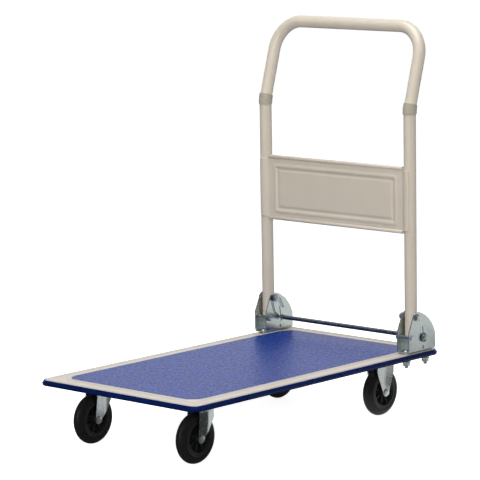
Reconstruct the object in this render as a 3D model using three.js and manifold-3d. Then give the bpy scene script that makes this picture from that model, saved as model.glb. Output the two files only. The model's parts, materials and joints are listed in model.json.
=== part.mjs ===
// Folding platform cart: a pressed steel deck on four casters, with a tubular
// handle that unlocks with a foot bar and folds forward onto the deck.
// Millimetres. +Z up, -Y is the front edge, the handle stands at +Y.
// The origin is on the floor under the middle of the deck.
import * as THREE from 'three';
import { mergeVertices } from 'three/addons/utils/BufferGeometryUtils.js';
import Module from 'manifold-3d';

const wasm = await Module();
wasm.setup();

// ---------------------------------------------------------------- sizes
const GAP = 0.3; // between pieces that touch

// deck, as half sizes from the middle
const DECK_HALF_X = 214; // outside of the edge bumper
const DECK_HALF_Y = 370;
const BORDER_EXTRA_Y = DECK_HALF_Y - DECK_HALF_X; // every outline is this much longer than wide
const DECK_CORNER = 24;
const MAT_HALF_X = 174;
const MAT_CORNER = 30;
const MAT_TOP = 133.6;
const MAT_BOTTOM = 131.7;
const SHEET = 1.4; // deck sheet
const RECESS_TOP = MAT_BOTTOM - GAP;
const BUMPER_BOTTOM = 120.5;
const SHEET_HALF_X = DECK_HALF_X - 6.2;

// beams under the deck
const BEAM_BOTTOM = 120.6;
const BEAM_SHEET = 1.8;
const BEAM_TOP = RECESS_TOP - SHEET - GAP;

// casters
const WHEEL_RADIUS = 50;
const TYRE_WIDTH = 27;
const TYRE_INNER = 37;
const HUB_WIDTH = 28.4;
const AXLE_RADIUS = 4;
const TRACK_HALF = 138.7; // wheel centre from the middle, along X
const KINGPIN_Y = -262;
const TRAIL = 30; // the swivel wheels' axle from the kingpin
const REAR_WHEEL_Y = 260;
const LEG_INNER = 14.6; // fork leg from the wheel's middle
const LEG_SHEET = 2.5;
const PLATE_TOP = BEAM_BOTTOM - GAP;
const PLATE_SHEET = 2.5;
const CROWN_TOP = 107.6;

// handle
const TUBE_RADIUS = 12.7;
const TUBE_WALL = 1.4;
const POST_X = 195.1;
const POST_Y = 292.4;
const PIVOT_Z = 206;
const TUBE_END = 167; // lower end of the posts
const BEND_Z = 631; // where the posts lean back
const LEAN = THREE.MathUtils.degToRad(16.4);
const LEAN_BEND_RADIUS = 60;
const GRIP_Z = 793.7; // middle of the top tube
const GRIP_BEND_RADIUS = 62;

// panel between the posts
const PANEL_Y = 285.2; // middle of the sheet
const PANEL_SHEET = 1.3;
const PANEL_BOTTOM = 376.5; // under the lower rolled edge
const PANEL_TOP = 514.5;
const ROLL_RADIUS = 4;
const TAB_END_ANGLE = THREE.MathUtils.degToRad(29); // past the front of the post

// hinge brackets
const BRACKET_SHEET = 2.3;
const BRACKET_INNER_HALF = 13.9; // from the post's axis to the inside of each plate
const BRACKET_BOTTOM = 134.5;
const BRACKET_FRONT = 266.4;
const BRACKET_REAR = 352;
const BRACKET_TOP = 217.5;
const BRACKET_BOLT_Y = [277, 338];
const BOLT_RADIUS = 4;
const HEX_RADIUS = 7.4; // across corners, for a 13 mm spanner
const STOP_Y = 275;
const STOP_Z = 166;
const SPRING_HOLE = [311.6, 143.5]; // the small hole below the release rod

// release rod across the two brackets
const ROD_RADIUS = 3;
const ROD_Y = 311.4;
const ROD_Z = 163;
const ROD_TRAVEL = 6;
const SLOT_LEAN = THREE.MathUtils.degToRad(10); // the slot runs down and a little back
const SLOT_ABOVE = 20; // free slot over the rod, which wedges against the upright post
const SLEEVE_RADIUS = 4.6;

const SIDES = [['left', -1], ['right', 1]];

// ------------------------------------------------------------ materials
const paint = () => new THREE.MeshStandardMaterial({ color: 0xc9bfae, roughness: 0.45, metalness: 0.1 });
const borderPaint = () => new THREE.MeshStandardMaterial({ color: 0xe2dacd, roughness: 0.45, metalness: 0.1 });
const matVinyl = () => new THREE.MeshStandardMaterial({ color: 0x5a66a0, roughness: 0.7, metalness: 0 });
const navyVinyl = () => new THREE.MeshStandardMaterial({ color: 0x0a1850, roughness: 0.3, metalness: 0 });
const zinc = () => new THREE.MeshStandardMaterial({ color: 0xc3cbc8, roughness: 0.35, metalness: 0.9 });
const darkSteel = () => new THREE.MeshStandardMaterial({ color: 0x5c6068, roughness: 0.4, metalness: 0.9 });
const rubber = () => new THREE.MeshStandardMaterial({ color: 0x23201f, roughness: 0.8, metalness: 0 });
const blackPlastic = () => new THREE.MeshStandardMaterial({ color: 0x1c1c1e, roughness: 0.5, metalness: 0 });
const greyPlastic = () => new THREE.MeshStandardMaterial({ color: 0xa9a59d, roughness: 0.6, metalness: 0 });

// ---------------------------------------------------------------- tools
/** A closed three.js geometry as a solid for booleans. */
function solid(geometry) {
  const bare = geometry.clone();
  bare.deleteAttribute('normal');
  bare.deleteAttribute('uv');
  const merged = mergeVertices(bare, 1e-4);
  return new wasm.Manifold(new wasm.Mesh({
    numProp: 3,
    vertProperties: new Float32Array(merged.attributes.position.array),
    triVerts: new Uint32Array(merged.index.array),
  }));
}

/** A solid back as a geometry. */
function geometryOf(body) {
  const { vertProperties, triVerts } = body.getMesh();
  const geometry = new THREE.BufferGeometry();
  geometry.setAttribute('position', new THREE.BufferAttribute(new Float32Array(vertProperties), 3));
  geometry.setIndex(new THREE.BufferAttribute(new Uint32Array(triVerts), 1));
  return geometry;
}

const join = (...geometries) => geometryOf(geometries.map(solid).reduce((a, b) => a.add(b)));
const cut = (base, ...tools) => geometryOf(tools.map(solid).reduce((a, b) => a.subtract(b), solid(base)));

/** A box between two corners, given axis by axis. */
function box([x0, x1], [y0, y1], [z0, z1]) {
  const geometry = new THREE.BoxGeometry(Math.abs(x1 - x0), Math.abs(y1 - y0), Math.abs(z1 - z0));
  return geometry.translate((x0 + x1) / 2, (y0 + y1) / 2, (z0 + z1) / 2);
}

/** A cylinder along an axis, between two stations, at the other two coordinates in XYZ order. */
function cylinder(axis, [from, to], radius, [a, b], sides = 16) {
  const geometry = new THREE.CylinderGeometry(radius, radius, Math.abs(to - from), sides);
  const middle = (from + to) / 2;
  if (axis === 'x') return geometry.rotateZ(Math.PI / 2).translate(middle, a, b);
  if (axis === 'y') return geometry.translate(a, middle, b);
  return geometry.rotateX(Math.PI / 2).translate(a, b, middle);
}

/** A flat plate: an outline in Y and Z, extruded along X between two stations. */
function plateAlongX(shape, x0, x1) {
  const depth = Math.abs(x1 - x0);
  const geometry = new THREE.ExtrudeGeometry(shape, { depth, bevelEnabled: false, curveSegments: 5 });
  const turn = new THREE.Matrix4().makeBasis(
    new THREE.Vector3(0, 1, 0), new THREE.Vector3(0, 0, 1), new THREE.Vector3(1, 0, 0));
  return geometry.applyMatrix4(turn).translate(Math.min(x0, x1), 0, 0);
}

/** A closed outline from corner points. */
const outline = (points) => new THREE.Shape(points.map(([a, b]) => new THREE.Vector2(a, b)));

/** A ring turned about the X axis from a closed profile of [distance from axis, x]. */
function turnedAboutX(profile, segments) {
  const points = [...profile, profile[0]].map(([r, x]) => new THREE.Vector2(r, x));
  return new THREE.LatheGeometry(points, segments).rotateZ(-Math.PI / 2);
}

/** The points of a rounded rectangle at one height, anticlockwise. */
function roundedLoop(halfX, halfY, radius, z, perCorner = 6) {
  const points = [];
  for (let corner = 0; corner < 4; corner += 1) {
    const cx = (corner === 0 || corner === 3 ? 1 : -1) * (halfX - radius);
    const cy = (corner < 2 ? 1 : -1) * (halfY - radius);
    for (let i = 0; i <= perCorner; i += 1) {
      const angle = (corner + i / perCorner) * Math.PI / 2;
      points.push([cx + radius * Math.cos(angle), cy + radius * Math.sin(angle), z]);
    }
  }
  return points;
}

/** Walls through a row of equal loops. Closed into a ring, or capped at both ends. */
function loft(loops, closed) {
  const count = loops[0].length;
  const index = [];
  const bands = closed ? loops.length : loops.length - 1;
  for (let k = 0; k < bands; k += 1) {
    const a = k * count;
    const b = ((k + 1) % loops.length) * count;
    for (let i = 0; i < count; i += 1) {
      const j = (i + 1) % count;
      index.push(a + i, b + j, b + i, a + i, a + j, b + j);
    }
  }
  if (!closed) {
    const last = (loops.length - 1) * count;
    for (let i = 1; i < count - 1; i += 1) {
      index.push(0, i + 1, i);
      index.push(last, last + i, last + i + 1);
    }
  }
  const geometry = new THREE.BufferGeometry();
  geometry.setAttribute('position', new THREE.Float32BufferAttribute(loops.flat(2), 3));
  geometry.setIndex(index);
  return geometry;
}

/** A curve through chosen stations, one extrusion step between each two. */
class StationCurve extends THREE.Curve {
  constructor(stations) {
    super();
    this.stations = stations;
  }

  getPoint(t) {
    const place = t * (this.stations.length - 1);
    const k = Math.min(Math.floor(place), this.stations.length - 2);
    return this.stations[k].clone().lerp(this.stations[k + 1], place - k);
  }

  getPointAt(u) {
    return this.getPoint(u);
  }

  getTangentAt(u) {
    const k = Math.round(u * (this.stations.length - 1));
    const before = this.stations[Math.max(k - 1, 0)];
    const here = this.stations[k];
    const after = this.stations[Math.min(k + 1, this.stations.length - 1)];
    const into = here.clone().sub(before).normalize();
    const out = after.clone().sub(here).normalize();
    return into.add(out).normalize();
  }
}

/** A tube along stations. */
function tube(stations, radius, boreRadius, sides) {
  const shape = new THREE.Shape();
  shape.absarc(0, 0, radius, 0, 2 * Math.PI, false);
  if (boreRadius > 0) shape.holes.push(new THREE.Path().absarc(0, 0, boreRadius, 0, 2 * Math.PI, true));
  const settings = { steps: stations.length - 1, curveSegments: sides, extrudePath: new StationCurve(stations) };
  return new THREE.ExtrudeGeometry(shape, settings);
}

const cart = new THREE.Group();

/** Adds one named piece. */
function piece(parent, name, geometry, material) {
  const mesh = new THREE.Mesh(geometry, material);
  mesh.name = name;
  parent.add(mesh);
  return mesh;
}

// ----------------------------------------------------------------- deck
/** One loop of the deck, at a half width; its corner goes from the outer to the mat's radius. */
function deckLoop(halfX, z) {
  const inward = (SHEET_HALF_X - halfX) / (SHEET_HALF_X - MAT_HALF_X);
  const radius = THREE.MathUtils.lerp(DECK_CORNER - 6, MAT_CORNER, inward);
  return roundedLoop(halfX, halfX + BORDER_EXTRA_Y, radius, z);
}

function deckPlate() {
  const section = [ // half width and height, from the middle out over the top and back below
    [MAT_HALF_X + GAP, RECESS_TOP],
    [MAT_HALF_X + 0.8, MAT_TOP - 0.3],
    [MAT_HALF_X + 2.2, MAT_TOP + 0.3],
    [MAT_HALF_X + 8, MAT_TOP + 0.4],
    [SHEET_HALF_X - 6, MAT_TOP - 0.7],
    [SHEET_HALF_X - 1.2, MAT_TOP - 1.9],
    [SHEET_HALF_X, MAT_TOP - 3.2],
    [SHEET_HALF_X, BUMPER_BOTTOM + 1.2],
    [SHEET_HALF_X - SHEET, BUMPER_BOTTOM + 1.2],
    [SHEET_HALF_X - SHEET, MAT_TOP - 3.8],
    [SHEET_HALF_X - 6.4, MAT_TOP - 2.1],
    [MAT_HALF_X + 8, MAT_TOP - 1.1],
    [MAT_HALF_X + 3, MAT_TOP - 1.3],
    [MAT_HALF_X - 0.6, RECESS_TOP - SHEET],
  ];
  const loops = section.map(([halfX, z]) => deckLoop(halfX, z)).reverse();
  const holes = SIDES.flatMap(([, side]) => BRACKET_BOLT_Y.map((y) => (
    cylinder('z', [110, 150], BOLT_RADIUS + GAP, [side * POST_X, y]))));
  return cut(loft(loops, false), ...holes);
}

function edgeBumper() {
  const section = [ // how far inside the outermost face, and height
    [5.9, 131.0], [4.6, 131.3], [2.6, 130.0], [0.9, 127.6], [0, 125], [0.6, 123.3],
    [3, 121.6], [5, BUMPER_BOTTOM], [9.6, BUMPER_BOTTOM], [9.6, BUMPER_BOTTOM + 0.8],
    [5.9, BUMPER_BOTTOM + 0.8],
  ];
  const loops = section.map(([inset, z]) => roundedLoop(
    DECK_HALF_X - inset, DECK_HALF_Y - inset, DECK_CORNER - inset, z)).reverse();
  return loft(loops, true);
}

function deckMat() {
  const loops = [MAT_BOTTOM, MAT_TOP].map((z) => (
    roundedLoop(MAT_HALF_X, MAT_HALF_X + BORDER_EXTRA_Y, MAT_CORNER, z)));
  return loft(loops, false);
}

/** A hat-shaped channel under the deck: its web is at the bottom, its flanges meet the deck. */
function hatSection(half, flange) {
  const s = BEAM_SHEET;
  return outline([
    [-half, BEAM_BOTTOM], [half, BEAM_BOTTOM], [half, BEAM_TOP - s], [half + flange, BEAM_TOP - s],
    [half + flange, BEAM_TOP], [half - s, BEAM_TOP], [half - s, BEAM_BOTTOM + s],
    [-half + s, BEAM_BOTTOM + s], [-half + s, BEAM_TOP], [-half - flange, BEAM_TOP],
    [-half - flange, BEAM_TOP - s], [-half, BEAM_TOP - s],
  ]);
}

const BEAM_HALF_LENGTH = 200;
const FRONT_BEAM_HALF = 48;
const REAR_BEAM_FRONT = 212;
const REAR_BEAM_REAR = 350;
const BEAM_FLANGE = 5;

function crossBeam(front, rear, holes) {
  const beam = plateAlongX(hatSection((rear - front) / 2, BEAM_FLANGE), -BEAM_HALF_LENGTH, BEAM_HALF_LENGTH);
  beam.translate(0, (front + rear) / 2, 0);
  return holes.length ? cut(beam, ...holes) : beam;
}

const beamHoles = SIDES.flatMap(([, side]) => BRACKET_BOLT_Y.map((y) => (
  cylinder('z', [110, 150], BOLT_RADIUS + GAP, [side * POST_X, y]))));
const stiffenerEnds = [KINGPIN_Y + FRONT_BEAM_HALF + BEAM_FLANGE + 1, REAR_BEAM_FRONT - BEAM_FLANGE - 1];

piece(cart, 'deck_plate', deckPlate(), borderPaint());
piece(cart, 'deck_mat', deckMat(), matVinyl());
piece(cart, 'edge_bumper', edgeBumper(), navyVinyl());
piece(cart, 'cross_beam_front', crossBeam(KINGPIN_Y - FRONT_BEAM_HALF, KINGPIN_Y + FRONT_BEAM_HALF, []), borderPaint());
piece(cart, 'cross_beam_rear', crossBeam(REAR_BEAM_FRONT, REAR_BEAM_REAR, beamHoles), borderPaint());
const stiffener = plateAlongX(hatSection(45, BEAM_FLANGE), stiffenerEnds[0], stiffenerEnds[1]);
piece(cart, 'deck_stiffener', stiffener.rotateZ(Math.PI / 2), borderPaint());

// -------------------------------------------------------------- casters
function tyre() {
  const half = TYRE_WIDTH / 2;
  const r = WHEEL_RADIUS;
  return turnedAboutX([
    [TYRE_INNER, -half + 0.5], [r - 8.5, -half + 1.9], [r - 4.5, -half + 4.9], [r - 1.4, -half + 8.5], [r, -1.8],
    [r, 1.8], [r - 1.4, half - 8.5], [r - 4.5, half - 4.9], [r - 8.5, half - 1.9], [TYRE_INNER, half - 0.5],
  ], 32);
}

function hub() {
  const rim = TYRE_INNER - GAP;
  const half = TYRE_WIDTH / 2 - 1;
  const boss = HUB_WIDTH / 2;
  return turnedAboutX([
    [AXLE_RADIUS + GAP, -boss], [9, -boss], [10.5, -4], [rim - 5, -4], [rim - 3.5, -half], [rim, -half],
    [rim, half], [rim - 3.5, half], [rim - 5, 4], [10.5, 4], [9, boss], [AXLE_RADIUS + GAP, boss],
  ], 24);
}

function axleBolt() {
  const outside = LEG_INNER + LEG_SHEET + GAP;
  return join(
    cylinder('x', [-outside - 9, outside + 1], AXLE_RADIUS, [0, 0], 12),
    cylinder('x', [outside, outside + 3.2], HEX_RADIUS, [0, 0], 6),
    cylinder('x', [-outside, -outside - 6.5], HEX_RADIUS, [0, 0], 6));
}

/** The fork leg's outline in Y and Z: a wide top that narrows to a round end about the axle. */
function legOutline(topFront, topRear, waistRear, waistZ, axleY, top) {
  const end = 9;
  const shape = new THREE.Shape();
  shape.moveTo(topRear, top);
  shape.lineTo(topFront, top);
  shape.lineTo(axleY - end, WHEEL_RADIUS + 2);
  shape.absarc(axleY, WHEEL_RADIUS, end, Math.PI, 1.88 * Math.PI, false);
  shape.lineTo(waistRear, waistZ);
  shape.closePath();
  return shape;
}

/** Both legs of a fork, bored for the axle. */
function legs(shape, axleY) {
  const bore = cylinder('x', [-40, 40], AXLE_RADIUS + GAP, [axleY, WHEEL_RADIUS], 16);
  return SIDES.map(([, side]) => (
    cut(plateAlongX(shape, side * LEG_INNER, side * (LEG_INNER + LEG_SHEET)), bore)));
}

const PLATE_HALF = [35, 45];
const KINGPIN_RADIUS = 5;
const RACE_RADIUS = 24;
const BEARING_BOTTOM = CROWN_TOP + GAP;
const BEARING_TOP = BEARING_BOTTOM + 3;
const RACE_BOTTOM = BEARING_TOP + GAP;

function topPlate() {
  return box([-PLATE_HALF[0], PLATE_HALF[0]], [-PLATE_HALF[1], PLATE_HALF[1]], [PLATE_TOP - PLATE_SHEET, PLATE_TOP]);
}

function swivelPlate() {
  const race = cylinder('z', [RACE_BOTTOM, PLATE_TOP - 1], RACE_RADIUS, [0, 0], 20);
  const bore = cylinder('z', [90, 130], KINGPIN_RADIUS + GAP, [0, 0], 16);
  return cut(join(topPlate(), race), bore);
}

function bearing() {
  const outer = cylinder('z', [BEARING_BOTTOM, BEARING_TOP], RACE_RADIUS - 2, [0, 0], 20);
  return cut(outer, cylinder('z', [90, 130], RACE_RADIUS - 10, [0, 0], 16));
}

function kingpin() {
  const headTop = CROWN_TOP - LEG_SHEET - GAP;
  return join(
    cylinder('z', [headTop - 1, PLATE_TOP - GAP], KINGPIN_RADIUS, [0, 0], 14),
    cylinder('z', [headTop - 3, headTop], KINGPIN_RADIUS + 3.5, [0, 0], 14));
}

function swivelFork() {
  const crownZ = [CROWN_TOP - LEG_SHEET, CROWN_TOP];
  const halfX = LEG_INNER + LEG_SHEET;
  const shape = legOutline(-31, 12, 12, 70, -TRAIL, CROWN_TOP);
  const crown = join(
    cylinder('z', crownZ, RACE_RADIUS, [0, 0], 20),
    box([-halfX, halfX], [-31, 12], crownZ),
    ...legs(shape, -TRAIL));
  return cut(crown, cylinder('z', [90, 130], KINGPIN_RADIUS + GAP, [0, 0], 16));
}

function rigidFork() {
  const shape = legOutline(-25, 25, 23, 88, 0, PLATE_TOP);
  return join(topPlate(), ...legs(shape, 0));
}

/** The wheel with its axle bolt, about the axle. */
function wheel(parent, label, y) {
  const group = new THREE.Group();
  group.position.set(0, y, WHEEL_RADIUS);
  parent.add(group);
  piece(group, `axle_bolt_${label}`, axleBolt(), zinc());
  piece(group, `wheel_hub_${label}`, hub(), blackPlastic());
  piece(group, `tyre_${label}`, tyre(), rubber());
}

for (const [name, side] of SIDES) {
  const front = new THREE.Group();
  front.position.set(side * TRACK_HALF, KINGPIN_Y, 0);
  cart.add(front);
  piece(front, `swivel_plate_${name}`, swivelPlate(), zinc());
  piece(front, `swivel_bearing_${name}`, bearing(), darkSteel());
  piece(front, `kingpin_${name}`, kingpin(), zinc());
  piece(front, `swivel_fork_${name}`, swivelFork(), zinc());
  wheel(front, `front_${name}`, -TRAIL);

  const rear = new THREE.Group();
  rear.position.set(side * TRACK_HALF, REAR_WHEEL_Y, 0);
  cart.add(rear);
  piece(rear, `rigid_fork_${name}`, rigidFork(), zinc());
  wheel(rear, `rear_${name}`, 0);
}

// ------------------------------------------------------- hinge brackets
/** The way the release rod moves when it is pressed. */
const rodWay = new THREE.Vector2(Math.sin(SLOT_LEAN), -Math.cos(SLOT_LEAN));

/** The bracket plate's outline in Y and Z, without its holes. */
function bracketOutline() {
  const shape = new THREE.Shape();
  shape.moveTo(BRACKET_FRONT, BRACKET_BOTTOM);
  shape.lineTo(BRACKET_REAR, BRACKET_BOTTOM);
  shape.lineTo(BRACKET_REAR, 167);
  shape.quadraticCurveTo(BRACKET_REAR - 10, 197, 312, BRACKET_TOP - 5);
  shape.quadraticCurveTo(303, BRACKET_TOP, 292, BRACKET_TOP);
  shape.quadraticCurveTo(284.5, BRACKET_TOP, 282, BRACKET_TOP - 7);
  shape.lineTo(BRACKET_FRONT, 178);
  shape.closePath();
  return shape;
}

/** The slot that guides the release rod: a stadium along the rod's way. */
function rodSlot() {
  const radius = ROD_RADIUS + 0.5;
  const top = new THREE.Vector2(ROD_Y, ROD_Z).addScaledVector(rodWay, -SLOT_ABOVE);
  const bottom = new THREE.Vector2(ROD_Y, ROD_Z).addScaledVector(rodWay, ROD_TRAVEL + 0.3);
  const slot = new THREE.Path();
  slot.absarc(top.x, top.y, radius, SLOT_LEAN, SLOT_LEAN + Math.PI, false);
  slot.absarc(bottom.x, bottom.y, radius, SLOT_LEAN + Math.PI, SLOT_LEAN + 2 * Math.PI, false);
  slot.closePath();
  return slot;
}

function roundHole(y, z, radius) {
  return new THREE.Path().absarc(y, z, radius, 0, 2 * Math.PI, true);
}

function hingeBracket(side) {
  const shape = bracketOutline();
  shape.holes.push(rodSlot(), roundHole(POST_Y, PIVOT_Z, BOLT_RADIUS + GAP));
  shape.holes.push(roundHole(STOP_Y, STOP_Z, BOLT_RADIUS + GAP), roundHole(SPRING_HOLE[0], SPRING_HOLE[1], 3));
  const inside = BRACKET_INNER_HALF;
  const plates = SIDES.map(([, face]) => plateAlongX(
    shape, side * POST_X + face * inside, side * POST_X + face * (inside + BRACKET_SHEET)));
  const base = box(
    [side * POST_X - inside - 1, side * POST_X + inside + 1],
    [BRACKET_FRONT, BRACKET_REAR], [BRACKET_BOTTOM, BRACKET_BOTTOM + BRACKET_SHEET]);
  const holes = BRACKET_BOLT_Y.map((y) => cylinder('z', [120, 150], BOLT_RADIUS + GAP, [side * POST_X, y]));
  return cut(join(base, ...plates), ...holes);
}

/** A domed bolt from inside the bracket down through the deck and the beam. */
function bracketBolt() {
  const seat = BRACKET_BOTTOM + BRACKET_SHEET + GAP;
  const profile = [[0, seat], [8.5, seat], [7.6, seat + 2], [5, seat + 3.6], [0, seat + 4.2]];
  const head = new THREE.LatheGeometry(profile.map(([r, z]) => new THREE.Vector2(r, z)), 16);
  return join(head.rotateX(Math.PI / 2), cylinder('z', [102, seat + 1], BOLT_RADIUS, [0, 0], 12));
}

/** A flange nut under a thick spacer washer. */
function flangeNut() {
  const top = BEAM_BOTTOM - GAP;
  const spacer = cylinder('z', [top - 4.6, top], 8.2, [0, 0], 20);
  const flange = cylinder('z', [top - 6.8, top - 4.5], 9.2, [0, 0], 20);
  const hex = cylinder('z', [top - 13, top - 6], HEX_RADIUS, [0, 0], 6);
  return cut(join(spacer, flange, hex), cylinder('z', [100, 130], BOLT_RADIUS + GAP, [0, 0], 12));
}

const outerFace = POST_X + BRACKET_INNER_HALF + BRACKET_SHEET + GAP;
const innerFace = POST_X - BRACKET_INNER_HALF - BRACKET_SHEET - GAP;
const COIL_LENGTH = 3.2; // the return spring's coil, between the bracket and the pivot nut
const COIL_RADIUS = 6.4;
const WIRE_RADIUS = 0.8;
const ROD_LEG = [[-4.8, -2], [-3, -16], [-0.5, -28.5], [14.5, -38.2]]; // from the pivot, in Y and Z
const HELD_LEG = [[3.5, 4.2], [14, -1], [19, -6], [27.5, -23]];
const nutFace = innerFace - COIL_LENGTH - GAP;

/** The bolt that the post turns on, with its head outside. */
function pivotBolt(side) {
  return join(
    cylinder('x', [side * (nutFace - 7), side * (outerFace + 1)], BOLT_RADIUS, [POST_Y, PIVOT_Z], 14),
    cylinder('x', [side * outerFace, side * (outerFace + 5)], HEX_RADIUS, [POST_Y, PIVOT_Z], 6));
}

function pivotNut(side) {
  const nut = cylinder('x', [side * nutFace, side * (nutFace - 6)], HEX_RADIUS, [POST_Y, PIVOT_Z], 6);
  return cut(nut, cylinder('x', [side * 150, side * 220], BOLT_RADIUS + GAP, [POST_Y, PIVOT_Z], 14));
}

/** The pin that the upright post leans on, with a low head outside and a collar inside. */
function stopPin(side) {
  return join(
    cylinder('x', [side * (innerFace - 1), side * (outerFace + 0.5)], BOLT_RADIUS, [STOP_Y, STOP_Z], 14),
    cylinder('x', [side * outerFace, side * (outerFace + 1.2)], 5.6, [STOP_Y, STOP_Z], 14),
    cylinder('x', [side * innerFace, side * (innerFace - 5)], HEX_RADIUS, [STOP_Y, STOP_Z], 6));
}

/** The torsion spring round the pivot bolt: one leg bears on the rod, the other is hooked into the bracket. */
function returnSpring(side) {
  const x = side * (innerFace - COIL_LENGTH / 2);
  const coil = cut(
    cylinder('x', [side * innerFace, side * (innerFace - COIL_LENGTH)], COIL_RADIUS, [POST_Y, PIVOT_Z], 16),
    cylinder('x', [side * 150, side * 220], BOLT_RADIUS + GAP, [POST_Y, PIVOT_Z], 14));
  const legs = [ROD_LEG, HELD_LEG].map((leg) => (
    tube(leg.map(([y, z]) => new THREE.Vector3(x, POST_Y + y, PIVOT_Z + z)), WIRE_RADIUS, 0, 6)));
  return join(coil, ...legs);
}

for (const [name, side] of SIDES) {
  piece(cart, `hinge_bracket_${name}`, hingeBracket(side), zinc());
  piece(cart, `pivot_bolt_${name}`, pivotBolt(side), zinc());
  piece(cart, `pivot_nut_${name}`, pivotNut(side), zinc());
  piece(cart, `stop_pin_${name}`, stopPin(side), zinc());
  piece(cart, `return_spring_${name}`, returnSpring(side), darkSteel());
  for (const [end, y] of [['front', BRACKET_BOLT_Y[0]], ['rear', BRACKET_BOLT_Y[1]]]) {
    piece(cart, `bracket_bolt_${end}_${name}`, bracketBolt(), zinc()).position.set(side * POST_X, y, 0);
    piece(cart, `bracket_nut_${end}_${name}`, flangeNut(), zinc()).position.set(side * POST_X, y, 0);
  }
}

// ---------------------------------------------------------- release bar
const rodGroup = new THREE.Group();
rodGroup.position.set(0, ROD_Y, ROD_Z);
cart.add(rodGroup);

const SLEEVE_ENDS = [-169.5, 169.5];
const COLLAR_ENDS = [170.2, 173.2];
const rodHalf = outerFace + 7.5;
const rodCollars = SIDES.map(([, side]) => (
  cylinder('x', COLLAR_ENDS.map((x) => side * x), SLEEVE_RADIUS + 1.6, [0, 0], 16)));
const rodBody = cylinder('x', [-rodHalf, rodHalf], ROD_RADIUS, [0, 0], 12);
piece(rodGroup, 'release_rod', join(rodBody, ...rodCollars), zinc());
const sleeveBody = cylinder('x', SLEEVE_ENDS, SLEEVE_RADIUS, [0, 0], 16);
const sleeveBore = cylinder('x', [-200, 200], ROD_RADIUS + GAP, [0, 0], 12);
piece(rodGroup, 'release_sleeve', cut(sleeveBody, sleeveBore), darkSteel());
for (const [name, side] of SIDES) {
  const washer = cylinder('x', [side * outerFace, side * (outerFace + 1.5)], 9.5, [0, 0], 20);
  const nut = cylinder('x', [side * (outerFace + 1), side * (outerFace + 6)], 6, [0, 0], 6);
  piece(rodGroup, `rod_nut_${name}`, cut(join(washer, nut), sleeveBore.clone().translate(side * 100, 0, 0)), zinc());
}

// --------------------------------------------------------------- handle
/** Points round an arc from one straight line to the next, between two unit directions. */
function bendStations(corner, into, out, radius, steps) {
  const turn = into.angleTo(out);
  const back = radius * Math.tan(turn / 2);
  const start = corner.clone().addScaledVector(into, -back);
  const side = out.clone().addScaledVector(into, -into.dot(out)).normalize();
  return Array.from({ length: steps + 1 }, (_, i) => {
    const angle = (turn * i) / steps;
    return start.clone()
      .addScaledVector(into, radius * Math.sin(angle))
      .addScaledVector(side, radius * (1 - Math.cos(angle)));
  });
}

const up = new THREE.Vector3(0, 0, 1);
const leaning = new THREE.Vector3(0, Math.sin(LEAN), Math.cos(LEAN));
const gripY = POST_Y + (GRIP_Z - BEND_Z) * Math.tan(LEAN);

/** One half of the handle's centre line, from the foot of the post to the middle of the grip. */
function halfHandle(side) {
  const across = new THREE.Vector3(-side, 0, 0);
  return [
    new THREE.Vector3(side * POST_X, POST_Y, TUBE_END),
    ...bendStations(new THREE.Vector3(side * POST_X, POST_Y, BEND_Z), up, leaning, LEAN_BEND_RADIUS, 3),
    ...bendStations(new THREE.Vector3(side * POST_X, gripY, GRIP_Z), leaning, across, GRIP_BEND_RADIUS, 7),
  ];
}

const PIVOT_SLEEVE_RADIUS = 6;

function handleTube() {
  const stations = [...halfHandle(-1), ...halfHandle(1).reverse()];
  const shell = tube(stations, TUBE_RADIUS, TUBE_RADIUS - TUBE_WALL, 8);
  const bores = SIDES.map(([, side]) => cylinder(
    'x', [side * 170, side * 220], PIVOT_SLEEVE_RADIUS + GAP, [POST_Y, PIVOT_Z], 16));
  return cut(shell, ...bores);
}

/** The spacer tube through the post that the pivot bolt runs in. */
function pivotSleeve(side) {
  const half = BRACKET_INNER_HALF - GAP;
  const body = cylinder('x', [side * (POST_X - half), side * (POST_X + half)], PIVOT_SLEEVE_RADIUS, [POST_Y, PIVOT_Z], 16);
  return cut(body, cylinder('x', [side * 170, side * 220], BOLT_RADIUS + GAP, [POST_Y, PIVOT_Z], 14));
}

/** The plastic plug in the post's lower end. */
function tubePlug(side) {
  const foot = cylinder('z', [TUBE_END - 1.8, TUBE_END - GAP], TUBE_RADIUS - 0.2, [side * POST_X, POST_Y], 20);
  const stem = cylinder('z', [TUBE_END - 1, TUBE_END + 12], TUBE_RADIUS - TUBE_WALL - GAP - 0.2, [side * POST_X, POST_Y], 16);
  return join(foot, stem);
}

/** The plastic ring round the bend, which rests on the deck when the handle is folded. */
function restRing(side) {
  const corner = new THREE.Vector3(side * POST_X, POST_Y, BEND_Z);
  const bend = bendStations(corner, up, leaning, LEAN_BEND_RADIUS, 3);
  const stations = [corner.clone().addScaledVector(up, -10), ...bend, corner.clone().addScaledVector(leaning, 10)];
  return tube(stations, 14.6, TUBE_RADIUS + 0.45, 8);
}

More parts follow.
